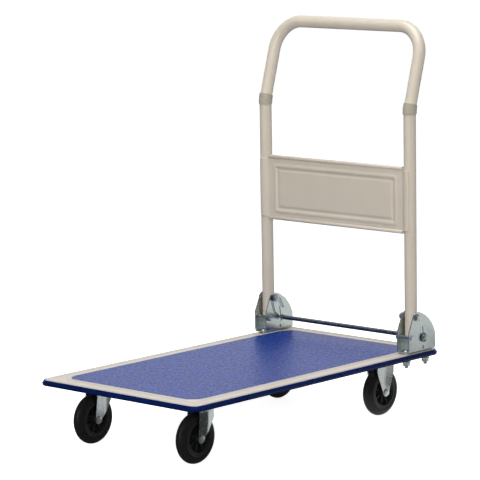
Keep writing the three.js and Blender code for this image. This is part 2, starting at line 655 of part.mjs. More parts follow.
/** The panel in plan: a flat sheet whose ends wrap over the fronts of the posts. */
function panelSheet() {
  const inner = TUBE_RADIUS + GAP;
  const outer = inner + PANEL_SHEET;
  const meet = (radius, y) => Math.acos((POST_Y - y) / radius); // from the post's front towards the middle
  const faceFront = PANEL_Y - PANEL_SHEET / 2;
  const faceBack = PANEL_Y + PANEL_SHEET / 2;
  const shape = new THREE.Shape();
  const front = -Math.PI / 2;
  // along the front face to the right post, round its tab, and back along the rear face
  shape.moveTo(-POST_X + outer * Math.sin(meet(outer, faceFront)), faceFront);
  shape.lineTo(POST_X - outer * Math.sin(meet(outer, faceFront)), faceFront);
  shape.absarc(POST_X, POST_Y, outer, front - meet(outer, faceFront), front + TAB_END_ANGLE, false);
  shape.absarc(POST_X, POST_Y, inner, front + TAB_END_ANGLE, front - meet(inner, faceBack), true);
  shape.lineTo(-POST_X + inner * Math.sin(meet(inner, faceBack)), faceBack);
  shape.absarc(-POST_X, POST_Y, inner, front + meet(inner, faceBack), front - TAB_END_ANGLE, true);
  shape.absarc(-POST_X, POST_Y, outer, front - TAB_END_ANGLE, front + meet(outer, faceFront), false);
  shape.closePath();
  const height = PANEL_TOP - PANEL_BOTTOM - 2 * ROLL_RADIUS;
  const sheet = new THREE.ExtrudeGeometry(shape, { depth: height, bevelEnabled: false, curveSegments: 8 });
  return sheet.translate(0, 0, PANEL_BOTTOM + ROLL_RADIUS);
}

function handlePanel() {
  const half = POST_X - TUBE_RADIUS - 1;
  const rollY = PANEL_Y + 1.6;
  const rolls = [PANEL_BOTTOM + ROLL_RADIUS, PANEL_TOP - ROLL_RADIUS].map((z) => (
    cylinder('x', [-half, half], ROLL_RADIUS, [rollY, z], 14)));
  return join(panelSheet(), ...rolls);
}

piece(cart, 'handle_tube', handleTube(), paint());
piece(cart, 'handle_panel', handlePanel(), paint());
for (const [name, side] of SIDES) {
  piece(cart, `rest_ring_${name}`, restRing(side), greyPlastic());
  piece(cart, `tube_plug_${name}`, tubePlug(side), blackPlastic());
  piece(cart, `pivot_sleeve_${name}`, pivotSleeve(side), zinc());
}

export default cart;
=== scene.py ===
"""Folding platform cart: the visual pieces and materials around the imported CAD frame.

Shapes are worked out in millimetres and turned into metres when a mesh is made.
"""

import json
from math import acos, atan2, ceil, cos, degrees, hypot, pi, radians, sin, sqrt, tan, tau

import bmesh
import bpy
from mathutils import Matrix, Vector, noise


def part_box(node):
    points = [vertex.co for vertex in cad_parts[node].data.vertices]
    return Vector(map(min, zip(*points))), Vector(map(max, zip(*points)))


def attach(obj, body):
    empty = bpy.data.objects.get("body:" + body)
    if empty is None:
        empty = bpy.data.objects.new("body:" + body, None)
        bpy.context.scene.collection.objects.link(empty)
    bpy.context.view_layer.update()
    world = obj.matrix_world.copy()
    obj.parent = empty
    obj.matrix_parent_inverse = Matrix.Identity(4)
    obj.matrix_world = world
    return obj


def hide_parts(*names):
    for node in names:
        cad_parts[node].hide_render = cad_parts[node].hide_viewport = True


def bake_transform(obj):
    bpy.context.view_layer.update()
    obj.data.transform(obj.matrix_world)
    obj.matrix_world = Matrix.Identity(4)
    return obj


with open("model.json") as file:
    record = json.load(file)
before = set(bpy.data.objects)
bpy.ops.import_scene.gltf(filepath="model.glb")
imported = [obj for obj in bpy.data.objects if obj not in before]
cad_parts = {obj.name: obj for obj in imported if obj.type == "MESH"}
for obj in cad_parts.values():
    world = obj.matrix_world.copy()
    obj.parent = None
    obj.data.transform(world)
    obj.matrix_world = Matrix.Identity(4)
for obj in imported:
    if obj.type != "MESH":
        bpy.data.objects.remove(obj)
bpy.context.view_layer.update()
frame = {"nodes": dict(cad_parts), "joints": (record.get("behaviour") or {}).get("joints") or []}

MM = 0.001
SIDES = (("left", -1), ("right", 1))


# ---- the frame in mm
def box_mm(node):
    """Lowest and highest corner of a CAD node."""
    low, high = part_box(node)
    return low / MM, high / MM


def middle_mm(node):
    """Middle of a CAD node's box."""
    low, high = box_mm(node)
    return (low + high) / 2


def half_mm(node):
    """Half of a CAD node's size in X, Y and Z."""
    low, high = box_mm(node)
    return [(b - a) / 2 for a, b in zip(low, high)]


# ---- 2D shapes
def round_turn(count):
    """Even angles round a full turn."""
    return [tau * i / count for i in range(count)]


def arc(cx, cy, radius, start, end, steps):
    """Points along an arc, angles in degrees."""
    angles = [radians(start + (end - start) * i / steps) for i in range(steps + 1)]
    return [(cx + radius * cos(a), cy + radius * sin(a)) for a in angles]


def circle(cx, cy, radius, steps=24):
    """Points round a circle."""
    return arc(cx, cy, radius, 0, 360, steps)[:-1]


def quadratic(start, control, end, steps):
    """Points along a quadratic curve, without its first point."""
    points = []
    for i in range(1, steps + 1):
        t = i / steps
        weights = ((1 - t) ** 2, 2 * t * (1 - t), t * t)
        points.append(tuple(sum(w * p[k] for w, p in zip(weights, (start, control, end))) for k in (0, 1)))
    return points


def rounded(corners, steps):
    """A line through corners of (x, y, radius), each rounded to its radius in some steps."""
    result = []
    for i, (x, y, radius) in enumerate(corners):
        if radius == 0:
            result.append((x, y))
            continue
        here = Vector((x, y))
        before = Vector(corners[i - 1][:2]) - here
        after = Vector(corners[(i + 1) % len(corners)][:2]) - here
        angle = before.angle(after)
        back = min(radius / tan(angle / 2), 0.49 * before.length, 0.49 * after.length)
        first = here + before.normalized() * back
        last = here + after.normalized() * back
        for k in range(steps + 1):
            t = k / steps
            point = first * (1 - t) ** 2 + here * 2 * t * (1 - t) + last * t * t
            result.append((point.x, point.y))
    return result


def rounded_box(half_x, half_y, radius, steps=6):
    """A rounded rectangle about the origin."""
    corners = [(half_x, half_y), (-half_x, half_y), (-half_x, -half_y), (half_x, -half_y)]
    points = []
    for i, (x, y) in enumerate(corners):
        centre_x = x - radius * (1 if x > 0 else -1)
        centre_y = y - radius * (1 if y > 0 else -1)
        points += arc(centre_x, centre_y, radius, 90 * i, 90 * i + 90, steps)
    return points


# ---- mesh makers
def new_object(name, mesh):
    """Links a mesh to the scene as a new object."""
    obj = bpy.data.objects.new(name, mesh)
    bpy.context.scene.collection.objects.link(obj)
    return obj


def tidied(obj):
    """Merges doubled points, drops thin faces and turns every face outwards."""
    bm = bmesh.new()
    bm.from_mesh(obj.data)
    bmesh.ops.remove_doubles(bm, verts=bm.verts, dist=1e-6)
    bmesh.ops.dissolve_degenerate(bm, edges=bm.edges, dist=1e-7)
    bmesh.ops.recalc_face_normals(bm, faces=bm.faces)
    bm.to_mesh(obj.data)
    bm.free()
    return obj


def mesh_object(name, points, faces):
    """A mesh from points in millimetres."""
    mesh = bpy.data.meshes.new(name)
    mesh.from_pydata([Vector(p) * MM for p in points], [], faces)
    return tidied(new_object(name, mesh))


def loft(name, rings, wrap=False):
    """Walls through a row of equal rings: wrapped round into a torus, or capped at both ends."""
    count = len(rings[0])
    points = [point for ring in rings for point in ring]
    faces = []
    for k in range(len(rings) if wrap else len(rings) - 1):
        a = k * count
        b = (k + 1) % len(rings) * count
        faces += [(a + i, a + (i + 1) % count, b + (i + 1) % count, b + i) for i in range(count)]
    if not wrap:
        last = (len(rings) - 1) * count
        faces += [tuple(range(count))[::-1], tuple(range(last, last + count))]
    return mesh_object(name, points, faces)


def turned(name, profile, segments, wrap=False):
    """A profile of (radius, height) turned about Z."""
    return loft(name, [[(radius * cos(a), radius * sin(a), height) for a in round_turn(segments)]
                       for radius, height in profile], wrap)


def block(low, high):
    """A six-sided solid between two loops of four points."""
    faces = [(3, 2, 1, 0), (4, 5, 6, 7), (0, 1, 5, 4), (1, 2, 6, 5), (2, 3, 7, 6), (3, 0, 4, 7)]
    return mesh_object("block", [*low, *high], faces)


def curve_frames(path):
    """Two directions across a path at each point, carried along it without twist."""
    count = len(path)
    ways = []
    for i in range(count):
        before = path[max(i - 1, 0)]
        after = path[min(i + 1, count - 1)]
        ways.append((after - before).normalized())
    across = ways[0].orthogonal().normalized()
    frames = []
    for way in ways:
        across = (across - way * across.dot(way)).normalized()
        frames.append((across, way.cross(across)))
    return frames


def sweep(name, path, radius, sides, bore=0):
    """A round rod or tube along a path; radius is a number, or one for each point."""
    path = [Vector(p) for p in path]
    radii = radius if isinstance(radius, list) else [radius] * len(path)

    def rings(sizes):
        return [[point + (across * cos(a) + over * sin(a)) * size for a in round_turn(sides)]
                for point, (across, over), size in zip(path, curve_frames(path), sizes)]

    if not bore:
        return loft(name, rings(radii))
    return loft(name, rings(radii) + rings([bore] * len(path))[::-1], wrap=True)


def evaluated(obj):
    """An object's mesh with its modifiers or curve settings applied."""
    return bpy.data.meshes.new_from_object(obj.evaluated_get(bpy.context.evaluated_depsgraph_get()))


def plate(name, outline, holes, thickness, edge):
    """A flat plate in XY, centred on Z = 0, with its edges rounded."""
    curve = bpy.data.curves.new(name, "CURVE")
    curve.dimensions = "2D"
    curve.fill_mode = "BOTH"
    curve.extrude = (thickness / 2 - edge) * MM
    curve.bevel_depth = edge * MM
    curve.bevel_resolution = 1
    curve.offset = -edge * MM
    for points in (outline, *holes):
        spline = curve.splines.new("POLY")
        spline.points.add(len(points) - 1)
        for point, (x, y) in zip(spline.points, points):
            point.co = (x * MM, y * MM, 0, 1)
        spline.use_cyclic_u = True
    shaped = new_object(name, curve)
    mesh = evaluated(shaped)
    bpy.data.objects.remove(shaped)
    bpy.data.curves.remove(curve)
    return tidied(new_object(name, mesh))


def joined(name, *objects):
    """Several closed shells as one piece."""
    bm = bmesh.new()
    for obj in objects:
        bm.from_mesh(obj.data)
        bpy.data.objects.remove(obj)
    mesh = bpy.data.meshes.new(name)
    bm.to_mesh(mesh)
    bm.free()
    return new_object(name, mesh)


def cut_to(obj, tool):
    """Keeps what of an object is inside a tool, which is used up."""
    modifier = obj.modifiers.new("cut", "BOOLEAN")
    modifier.operation = "INTERSECT"
    modifier.object = tool
    modifier.solver = "EXACT"
    mesh = evaluated(obj)
    obj.modifiers.clear()
    obj.data = mesh
    bpy.data.objects.remove(tool)
    return tidied(obj)


TURNS = {
    "z": Matrix.Identity(4),
    "x": Matrix(((0, 0, 1, 0), (1, 0, 0, 0), (0, 1, 0, 0), (0, 0, 0, 1))),  # Z to X, X to Y, Y to Z
    "-x": Matrix(((0, 0, -1, 0), (-1, 0, 0, 0), (0, 1, 0, 0), (0, 0, 0, 1))),
    "-z": Matrix(((1, 0, 0, 0), (0, -1, 0, 0), (0, 0, -1, 0), (0, 0, 0, 1))),
}


def put(obj, at=(0, 0, 0), way="z"):
    """Turns a mesh made about Z to point along an axis, and moves it to a place in millimetres."""
    obj.data.transform(Matrix.Translation(Vector(at) * MM) @ TURNS[way])
    return obj


# ---- materials
class Nodes:
    """The node tree of a material or a world, with short ways to add nodes and links."""

    def __init__(self, owner):
        owner.use_nodes = True
        self.owner, self.tree = owner, owner.node_tree
        self.place = self.add("ShaderNodeTexCoord").outputs

    def feed(self, socket, value):
        """Links a value to a socket, or sets it. A colour is given without its alpha."""
        if isinstance(value, bpy.types.NodeSocket):
            self.tree.links.new(value, socket)
        elif isinstance(value, tuple):
            socket.default_value = (*value, 1)[:len(socket.default_value)]
        else:
            socket.default_value = value

    def add(self, kind, inputs=None, **settings):
        node = self.tree.nodes.new(kind)
        for key, value in settings.items():
            setattr(node, key, value)
        for key, value in (inputs or {}).items():
            self.feed(node.inputs[key], value)
        return node

    def pattern(self, kind, size_mm, inputs=None, **settings):
        """A texture whose features are about size_mm across."""
        inputs = {"Vector": self.place["Object"], "Scale": 1000 / size_mm, **(inputs or {})}
        return self.add(kind, inputs, **settings).outputs

    def noise(self, size_mm, detail, roughness=0.55):
        return self.pattern("ShaderNodeTexNoise", size_mm, {"Detail": detail, "Roughness": roughness})["Fac"]

    def ramp(self, factor, stops):
        """A colour ramp with stops of (place, colour)."""
        node = self.add("ShaderNodeValToRGB", {"Fac": factor})
        elements = node.color_ramp.elements
        while len(elements) < len(stops):
            elements.new(0.5)
        for element, (place, colour) in zip(elements, stops):
            element.position = place
            element.color = (*colour, 1)
        return node.outputs["Color"]

    def spread(self, factor, low, high):
        """A factor from 0 to 1 as a number from low to high."""
        return self.add("ShaderNodeMapRange", {"Value": factor, "To Min": low, "To Max": high}).outputs[0]

    def mix(self, factor, first, second, how="MIX"):
        """Two colours mixed by a factor."""
        inputs = {0: factor, 6: first, 7: second}  # the Mix node's sockets for colours
        return self.add("ShaderNodeMix", inputs, data_type="RGBA", blend_type=how).outputs[2]

    def bump(self, height, depth_mm, under=None):
        """A bump of about depth_mm, over another one."""
        inputs = {"Height": height, "Strength": 1.0, "Distance": depth_mm * MM}
        if under:
            inputs["Normal"] = under
        return self.add("ShaderNodeBump", inputs).outputs["Normal"]

    def set(self, **values):
        """Sets the shader's sockets, named with _ for a space, and gives the material."""
        shader = self.tree.nodes["Principled BSDF"]
        for key, value in values.items():
            self.feed(shader.inputs[key.replace("_", " ")], value)
        return self.owner


def material(name):
    """The node tree of a new material."""
    return Nodes(bpy.data.materials.new(name))


def linear(red, green, blue):
    """A colour given as 0 to 255 sRGB."""
    def straight(value):
        value /= 255
        return value / 12.92 if value <= 0.04045 else ((value + 0.055) / 1.055) ** 2.4
    return tuple(straight(v) for v in (red, green, blue))


def shade(colour, amount):
    """A colour made darker or lighter."""
    return tuple(min(c * amount, 1) for c in colour)


def powder_coat(name, colour, roughness, coat=0.0):
    """Satin stoving enamel on steel: orange peel, a little cloudiness, fine dust in the coat."""
    n = material(name)
    cloud = n.noise(60, 4)
    body = n.ramp(cloud, ((0.3, shade(colour, 0.97)), (0.7, shade(colour, 1.025))))
    speck = n.ramp(n.noise(0.9, 1), ((0.28, shade(colour, 0.82)), (0.34, (1, 1, 1))))
    tone = n.mix(0.25, body, speck, "MULTIPLY")
    rough = n.spread(n.noise(14, 3), roughness - 0.05, roughness + 0.06)
    peel = n.bump(n.noise(2.6, 2), 0.035)
    return n.set(Base_Color=tone, Roughness=rough, Normal=peel, Specular_IOR_Level=0.5,
                 Coat_Weight=coat, Coat_Roughness=0.12)


def vinyl_mat(name):
    """Soft blue vinyl with a pebble grain and broad swells, glossier on the raised parts; its colour is
    painted lighter on the swells and darker in the dips and in the grooves between pebbles, as painted light
    and painted shade.
    """
    n = material(name)
    deep = linear(2, 46, 132)
    light = linear(8, 64, 162)
    pebble = n.pattern("ShaderNodeTexVoronoi", 3.4, feature="SMOOTH_F1")["Distance"]
    fine = n.noise(1.1, 3)
    swell_and_shading = n.noise(7, 4, 0.7)
    # painted light and shade: the colour follows the swells' height, from a quarter of the deep blue in the
    # dips to nearly twice the light blue on the crests
    tone = n.ramp(swell_and_shading, ((0.38, shade(deep, 0.25)), (0.5, deep), (0.62, shade(light, 1.9))))
    # painted shade: the grooves between the pebbles are darkened towards half the deep blue
    groove_shaded_tone = n.mix(n.spread(pebble, 0.0, 0.45), tone, shade(deep, 0.5))
    rough = n.spread(swell_and_shading, 0.46, 0.16)
    first = n.bump(pebble, -0.45)
    second = n.bump(swell_and_shading, 0.45, first)
    third = n.bump(fine, 0.16, second)
    return n.set(Base_Color=groove_shaded_tone, Roughness=rough, Normal=third, Specular_IOR_Level=0.14)


def zinc_plate(name, tone, roughness):
    """Bright zinc plating: pale grey with a faint yellow, violet and blue bloom, fine rolling marks."""
    n = material(name)
    bloom = n.ramp(n.noise(14, 3), (
        (0.25, shade(linear(200, 210, 226), tone)), (0.42, shade(linear(210, 223, 224), tone)),
        (0.55, shade(linear(222, 224, 214), tone)), (0.66, shade(linear(200, 222, 220), tone)),
        (0.80, shade(linear(208, 210, 226), tone))))
    grain = n.mix(n.spread(n.noise(1.0, 4), 0, 0.35), bloom, shade(linear(176, 184, 188), tone))
    rough = n.spread(n.noise(6, 4), roughness - 0.08, roughness + 0.12)
    rolled = n.bump(n.noise(1.2, 3), 0.02)
    dimpled = n.bump(n.noise(7, 2), 0.05, rolled)
    return n.set(Base_Color=grain, Metallic=1.0, Roughness=rough, Normal=dimpled)


def cloudy(name, tones, cloud, gloss, gloss_noise, bumps, light_at=0.7, **values):
    """A finish that drifts between two tones, its gloss uneven, with one bump over another.

    A noise is (size in mm, detail), and a bump is (noise, depth in mm).
    """
    n = material(name)
    tone = n.ramp(n.noise(*cloud), ((0.3, tones[0]), (light_at, tones[1])))
    rough = n.spread(n.noise(*gloss_noise), *gloss)
    normal = None
    for bump_noise, depth in bumps:
        normal = n.bump(n.noise(*bump_noise), depth, normal)
    return n.set(Base_Color=tone, Roughness=rough, Normal=normal, **values)


def plastic(name, colour, roughness):
    """Moulded plastic with a spark-eroded grain."""
    return cloudy(name, (shade(colour, 0.92), shade(colour, 1.06)), (16, 4),
                  (roughness - 0.06, roughness + 0.06), (6, 3), [((1.0, 3), 0.03)])


bumper_navy = cloudy(
    "bumper_vinyl", (linear(1, 18, 66), linear(2, 26, 82)), (40, 4),
    (0.24, 0.32), (70, 2), [((120, 1), 0.25)], Specular_IOR_Level=0.16)
tempered_wire = cloudy(
    "spring_steel", (linear(78, 86, 96), linear(136, 144, 152)), (4, 4),
    (0.26, 0.42), (2, 3), [((0.7, 3), 0.015)], Metallic=1.0)
dusty_rubber = cloudy(
    "tyre_rubber", (linear(15, 14, 14), linear(33, 31, 30)), (12, 5),
    (0.34, 0.5), (5, 4), [((0.9, 3), 0.05), ((9, 3), 0.12)], light_at=0.75, Specular_IOR_Level=0.3)

# every finish is a material and the record's slot that it stands for
# one beige enamel in two copies: the deck's made darker as painted shade against the strong overhead light,
# the handle's made lighter as painted light on its upright faces
PAINT = powder_coat("deck_paint", linear(200, 193, 183), 0.32), "deck_paint"
HANDLE_PAINT = powder_coat("handle_paint", linear(211, 201, 184), 0.33, 0.45), "handle_paint"
MAT_VINYL = vinyl_mat("mat_vinyl"), "mat_vinyl"
BUMPER_VINYL = bumper_navy, "bumper_vinyl"
ZINC = zinc_plate("zinc_plate", 1.0, 0.28), "zinc_plate"
# the forks' zinc is a darker copy (tone 0.86) of the plating: painted shade for the dark reflections on the
# fork legs
SHADED_FORK_ZINC = zinc_plate("fork_zinc", 0.86, 0.17), "zinc_plate"
SPRING = tempered_wire, "spring_steel"
# zinc-plated pieces in the darker spring-steel finish: painted shade for the dark rim of the rod's end cap
ZINC_IN_PAINTED_SHADE = tempered_wire, "zinc_plate"
TYRE = dusty_rubber, "tyre_rubber"
BLACK = plastic("black_plastic", linear(20, 20, 22), 0.45), "black_plastic"
GREY = plastic("grey_plastic", linear(172, 166, 148), 0.42), "grey_plastic"


# ---- dressing
def smooth(obj, sharp):
    """Smooth shading that keeps edges sharper than an angle in degrees."""
    mesh = obj.data
    mesh.polygons.foreach_set("use_smooth", [True] * len(mesh.polygons))
    if sharp:
        mesh.set_sharp_from_angle(angle=radians(sharp))
    mesh.update()


def bevelled(obj, width, angle=40):
    """Rounds an object's sharp edges by width in millimetres."""
    bevel = obj.modifiers.new("rounded_edges", "BEVEL")
    bevel.width = width * MM
    bevel.segments = 2
    bevel.limit_method = "ANGLE"
    bevel.angle_limit = radians(angle)
    bevel.harden_normals = True
    smooth(obj, 0)
    return obj


def thickened(obj, thickness, even):
    """Gives a sheet its thickness in millimetres, half on each side."""
    solidify = obj.modifiers.new("sheet", "SOLIDIFY")
    solidify.thickness = thickness * MM
    solidify.offset = 0
    solidify.use_even_offset = even
    return obj


def paint(obj, finish):
    """Gives an object its material."""
    look, slot = finish
    obj.data.materials.clear()
    obj.data.materials.append(look)


def dress(obj, finish, body, *nodes, at=(0, 0, 0), way="z", sharp=38):
    """Puts a piece in its place with its finish and body, and hides the CAD nodes that it stands for."""
    put(obj, at, way)
    if not obj.modifiers:
        smooth(obj, sharp)
    paint(obj, finish)
    if body:
        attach(obj, body)
    if nodes:
        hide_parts(*nodes)
    return obj


# ---- fasteners
def hex_radius(across_flats, angle):
    """Distance from the middle to a hexagon's side at an angle."""
    sixth = pi / 3
    return across_flats / 2 / cos((angle + sixth / 2) % sixth - sixth / 2)


def hexagon(name, across_flats, low, high, bore=0.0, chamfers=(True, True)):
    """A hex head or nut about Z, its corners chamfered at the low and high ends."""
    flat = across_flats / 2 * 0.97  # radius of the face inside the chamfer
    segments, chamfer = 60, 0.5

    def ring(height, slope=0, radius=0):
        points = []
        for a in round_turn(segments):
            side = hex_radius(across_flats, a)
            r = radius or side
            points.append((r * cos(a), r * sin(a), height + slope * (side - flat)))
        return points

    rings = []
    for height, slope, chamfered in ((low, chamfer, chamfers[0]), (high, -chamfer, chamfers[1])):
        end = [ring(height, 0, bore)] if bore else []
        end += [ring(height, 0, flat), ring(height, slope)] if chamfered else [ring(height)]
        rings += end if slope > 0 else end[::-1]
    return loft(name, rings, wrap=bool(bore))


def washer(name, radius, bore, low, high):
    """A flat washer about Z with softened edges."""
    e = min(0.3, (high - low) * 0.3)
    profile = [(bore, low), (radius - e, low), (radius, low + e),
               (radius, high - e), (radius - e, high), (bore, high)]
    return turned(name, profile, 40, wrap=True)


def stud(name, radius, low, high, pitch=1.25):
    """A threaded end about Z: grooves at the thread's pitch and a chamfered tip at the high end."""
    profile = [(radius * 0.9, low)]
    turns = int((high - low - 0.8) / pitch)
    for i in range(turns):
        z = low + i * pitch
        profile += [(radius * r, z + share * pitch) for r, share in ((1, 0.35), (1, 0.5), (0.87, 0.95))]
    profile += [(radius * 0.95, high - 0.6), (radius * 0.75, high)]
    return turned(name, profile, 28)


def dome(name, radius, height, low):
    """A carriage bolt's domed head about Z."""
    ball = (radius ** 2 + height ** 2) / (2 * height)
    reach = acos((ball - height) / ball)
    profile = [(radius - 0.25, low), (radius, low + 0.35)]
    steps = 8
    for i in range(1, steps + 1):
        angle = reach * (1 - i / steps)
        profile.append((max(ball * sin(angle), 0.15), low + height - ball + ball * cos(angle) + 0.02))
    return turned(name, profile, 40)


# ---- deck
bumper_low, bumper_high = box_mm("edge_bumper")
mat_low, mat_high = box_mm("deck_mat")
sheet_low, sheet_high = box_mm("deck_plate")
EXTRA_Y = bumper_high.y - bumper_high.x  # every outline of the deck is this much longer than wide
MAT_CORNER = 30
OUTER_CORNER = 24


def deck_ring(half_x, radius, z, steps=14):
    """One loop of the deck at a half width."""
    return [(x, y, z) for x, y in rounded_box(half_x, half_x + EXTRA_Y, radius, steps)]


def deck_sheet():
    """Pressed steel deck: recess, raised border with a soft crest and valley, edge turned down."""
    mat, edge = mat_high.x, sheet_high.x
    top = sheet_high.z
    floor = mat_low.z - 0.3
    skin = 1.4
    under = 40  # how far the modelled sheet reaches in under the mat
    upper = rounded([
        (mat - under, floor, 0), (mat + 0.4, floor, 0.3), (mat + 0.9, top - 0.6, 1.2),
        (mat + 4.4, top + 0.15, 3), (mat + 8.5, top - 3.0, 5), (edge - 8.5, top - 3.2, 5),
        (edge - 5, top - 0.7, 2.5), (edge - 1.4, top - 1.6, 1.5), (edge, top - 4.2, 1.5),
        (edge, sheet_low.z, 0)], 6)
    lower = [(mat - under, floor - skin), (mat - 0.6, floor - skin), (mat + 4.4, top - skin - 0.4),
             (mat + 8.5, top - skin - 3.2), (edge - 8.5, top - skin - 3.4), (edge - 5, top - skin - 1.0),
             (edge - skin, top - 5.2), (edge - skin, sheet_low.z)]
    rings = []
    for half, z in upper + lower[::-1]:
        inward = (edge - half) / (edge - mat)
        radius = max(OUTER_CORNER - 6 + inward * (MAT_CORNER - OUTER_CORNER + 6), 4)
        rings.append(deck_ring(half, radius, z))
    return loft("pressed_deck", rings)


def bumper_strip():
    """Vinyl edge strip: sloping top, low pointed nose, a groove, and a bead along its lower lip."""
    low, high = bumper_low.z, bumper_high.z
    section = rounded([
        (5.9, high - 0.5, 0.3), (4.4, high, 1.6), (2.0, high - 3.4, 3), (-0.1, low + 4.2, 1.4),
        (1.2, low + 2.6, 1), (1.9, low + 2.4, 0.3), (2.2, low + 1.9, 0.3), (1.3, low + 1.3, 0.4),
        (1.5, low + 0.3, 0.4), (2.6, low, 0.5), (9.6, low, 0.2), (9.6, low + 0.9, 0.2),
        (5.9, low + 0.9, 0.2)], 4)
    rings = [deck_ring(bumper_high.x - inset, OUTER_CORNER - inset, z, 20) for inset, z in section]
    return loft("bumper_strip", rings, wrap=True)


def onto_disc(a, b):
    """A point of the unit square moved onto the unit quarter disc, keeping its row and column."""
    length = hypot(a, b)
    return (a, b) if length == 0 else (a * max(a, b) / length, b * max(a, b) / length)


def rounded_grid(us, vs, radius):
    """A grid whose four corners are bent round to a radius: rows of (u, v)."""
    half_u, half_v = us[-1], vs[-1]
    rows = []
    for v in vs:
        row = []
        for u in us:
            a = (abs(u) - half_u + radius) / radius
            b = (abs(v) - half_v + radius) / radius
            if a > 0 and b > 0:
                a, b = onto_disc(a, b)
                row.append(((half_u - radius + a * radius) * (1 if u > 0 else -1),
                            (half_v - radius + b * radius) * (1 if v > 0 else -1)))
            else:
                row.append((u, v))
        rows.append(row)
    return rows


def stations(half, step, rim=()):
    """Even stations from -half to half, with extra ones near the rim."""
    count = ceil(2 * half / step)
    inner = [-half + 2 * half * i / count for i in range(count + 1)]
    extra = [s * (half - r) for r in rim for s in (-1, 1)]
    return sorted(set(inner + extra))


def grid_faces(columns, rows):
    """Faces of a grid laid out row by row."""
    return [(r * columns + c, r * columns + c + 1, (r + 1) * columns + c + 1, (r + 1) * columns + c)
            for r in range(rows - 1) for c in range(columns - 1)]


def grained_mat():
    """The vinyl mat: pebble grain on top and a rounded rim."""
    half_x, half_y, top = mat_high.x, mat_high.y, mat_high.z
    step, rim = 1.9, (0.25, 0.6, 1.2)
    rim_width, rim_drop = 1.3, 0.9
    pebble_size, pebble_depth = 7.5, 0.55
    us, vs = stations(half_x, step, rim), stations(half_y, step, rim)
    points = []
    for row in rounded_grid(us, vs, MAT_CORNER):
        for x, y in row:
            inset = min(half_x - abs(x), half_y - abs(y))
            corner = hypot(max(abs(x) - half_x + MAT_CORNER, 0), max(abs(y) - half_y + MAT_CORNER, 0))
            if corner > 0:
                inset = min(inset, MAT_CORNER - corner)
            fall = rim_drop * (1 - min(max(inset, 0) / rim_width, 1)) ** 2
            cell = noise.voronoi(Vector((x / pebble_size, y / pebble_size, 3.1)))[0]
            pebble = pebble_depth * min(cell[0] * 1.5, 1)
            points.append((x, y, top - fall - (pebble if inset > 1 else 0)))
    columns, rows = len(us), len(vs)
    faces = grid_faces(columns, rows)
    rim_loop = list(range(columns)) + [r * columns + columns - 1 for r in range(1, rows)]
    rim_loop += [(rows - 1) * columns + c for c in range(columns - 2, -1, -1)]
    rim_loop += [r * columns for r in range(rows - 2, 0, -1)]
    base = len(points)
    points += [(points[i][0], points[i][1], mat_low.z) for i in rim_loop]
    count = len(rim_loop)
    for i in range(count):
        j = (i + 1) % count
        faces.append((rim_loop[i], base + i, base + j, rim_loop[j]))
    faces.append(tuple(range(base, base + count)))
    return mesh_object("grained_mat", points, faces)


dress(deck_sheet(), PAINT, "deck", "deck_plate", sharp=60)
dress(bumper_strip(), BUMPER_VINYL, "deck", "edge_bumper", sharp=50)
dress(grained_mat(), MAT_VINYL, "deck", "deck_mat", sharp=60)
for beam in ("cross_beam_front", "cross_beam_rear", "deck_stiffener"):
    paint(bevelled(frame["nodes"][beam], 0.5), PAINT)


# ---- wheels
def tyre_piece(name):
    """A moulded rubber tyre about Z: rounded tread with fine grooves near its shoulders."""
    half, _, radius = half_mm("tyre_front_right")
    inner = 37.0
    crown = radius - inner + 2.5  # the crown is a rounded arch that springs from just inside the side ring
    profile = [(inner, half - 1.6), (inner + 0.4, half - 0.6), (inner + 1.2, half - 0.55)]

    def arch(x):
        return radius - crown + crown * (1 - (abs(x) / (half - 0.9)) ** 2.0) ** 0.56

    lines = (10.9, 8.9)  # fine moulded lines round the shoulder
    steps = 22
    for i in range(1, steps + 1):
        x = (half - 1.1) * cos(pi / 2 * i / steps)
        profile.append((arch(x), x))
    for line in lines:
        profile += [(arch(line + 0.45), line + 0.45), (arch(line) - 0.55, line + 0.15),
                    (arch(line) - 0.55, line - 0.15), (arch(line - 0.45), line - 0.45)]
    outer = profile[:3] + sorted(profile[3:], key=lambda point: -point[1])
    outer = [point for point in outer[:-1] if all(abs(point[1] - line) < 0.2 or abs(point[1] - line) >= 0.44
                                                  for line in lines)]
    mirrored = [(r, -x) for r, x in outer[::-1]]
    return turned(name, outer + [(radius, 0)] + mirrored + [(inner, 0)], 112, wrap=True)


def hub_piece(name):
    """A moulded hub about Z: rim, deep recess with radial ribs on both sides, and a long boss."""
    boss, _, rim = half_mm("wheel_hub_front_right")
    face = 12.6  # the rim's face from the wheel's middle
    half_profile = [(4.3, boss), (8.4, boss), (9.0, boss - 0.6), (9.8, 4.2), (10.8, 3.2), (25.6, 3.2),
                    (26.6, 4.2), (27.6, face - 1.4), (28.6, face - 0.5), (31.5, face - 0.3),
                    (33.2, face - 0.9), (35.4, face), (rim, face - 0.5)]
    profile = half_profile + [(r, -x) for r, x in half_profile[::-1]]
    body = turned(name, profile, 96, wrap=True)
    ribs = []
    count = 8
    for i in range(count):
        angle = tau * (i + 0.5) / count
        for side in (-1, 1):
            low, high = [], []
            for r, w, height in ((8.2, -0.9, 8.6), (27.2, -0.7, 10.4), (27.2, 0.7, 10.4), (8.2, 0.9, 8.6)):
                x, y = r * cos(angle) - w * sin(angle), r * sin(angle) + w * cos(angle)
                low.append((x, y, side * 2.0))
                high.append((x, y, side * height))
            ribs.append(block(low, high))
    return joined(name, body, *ribs)


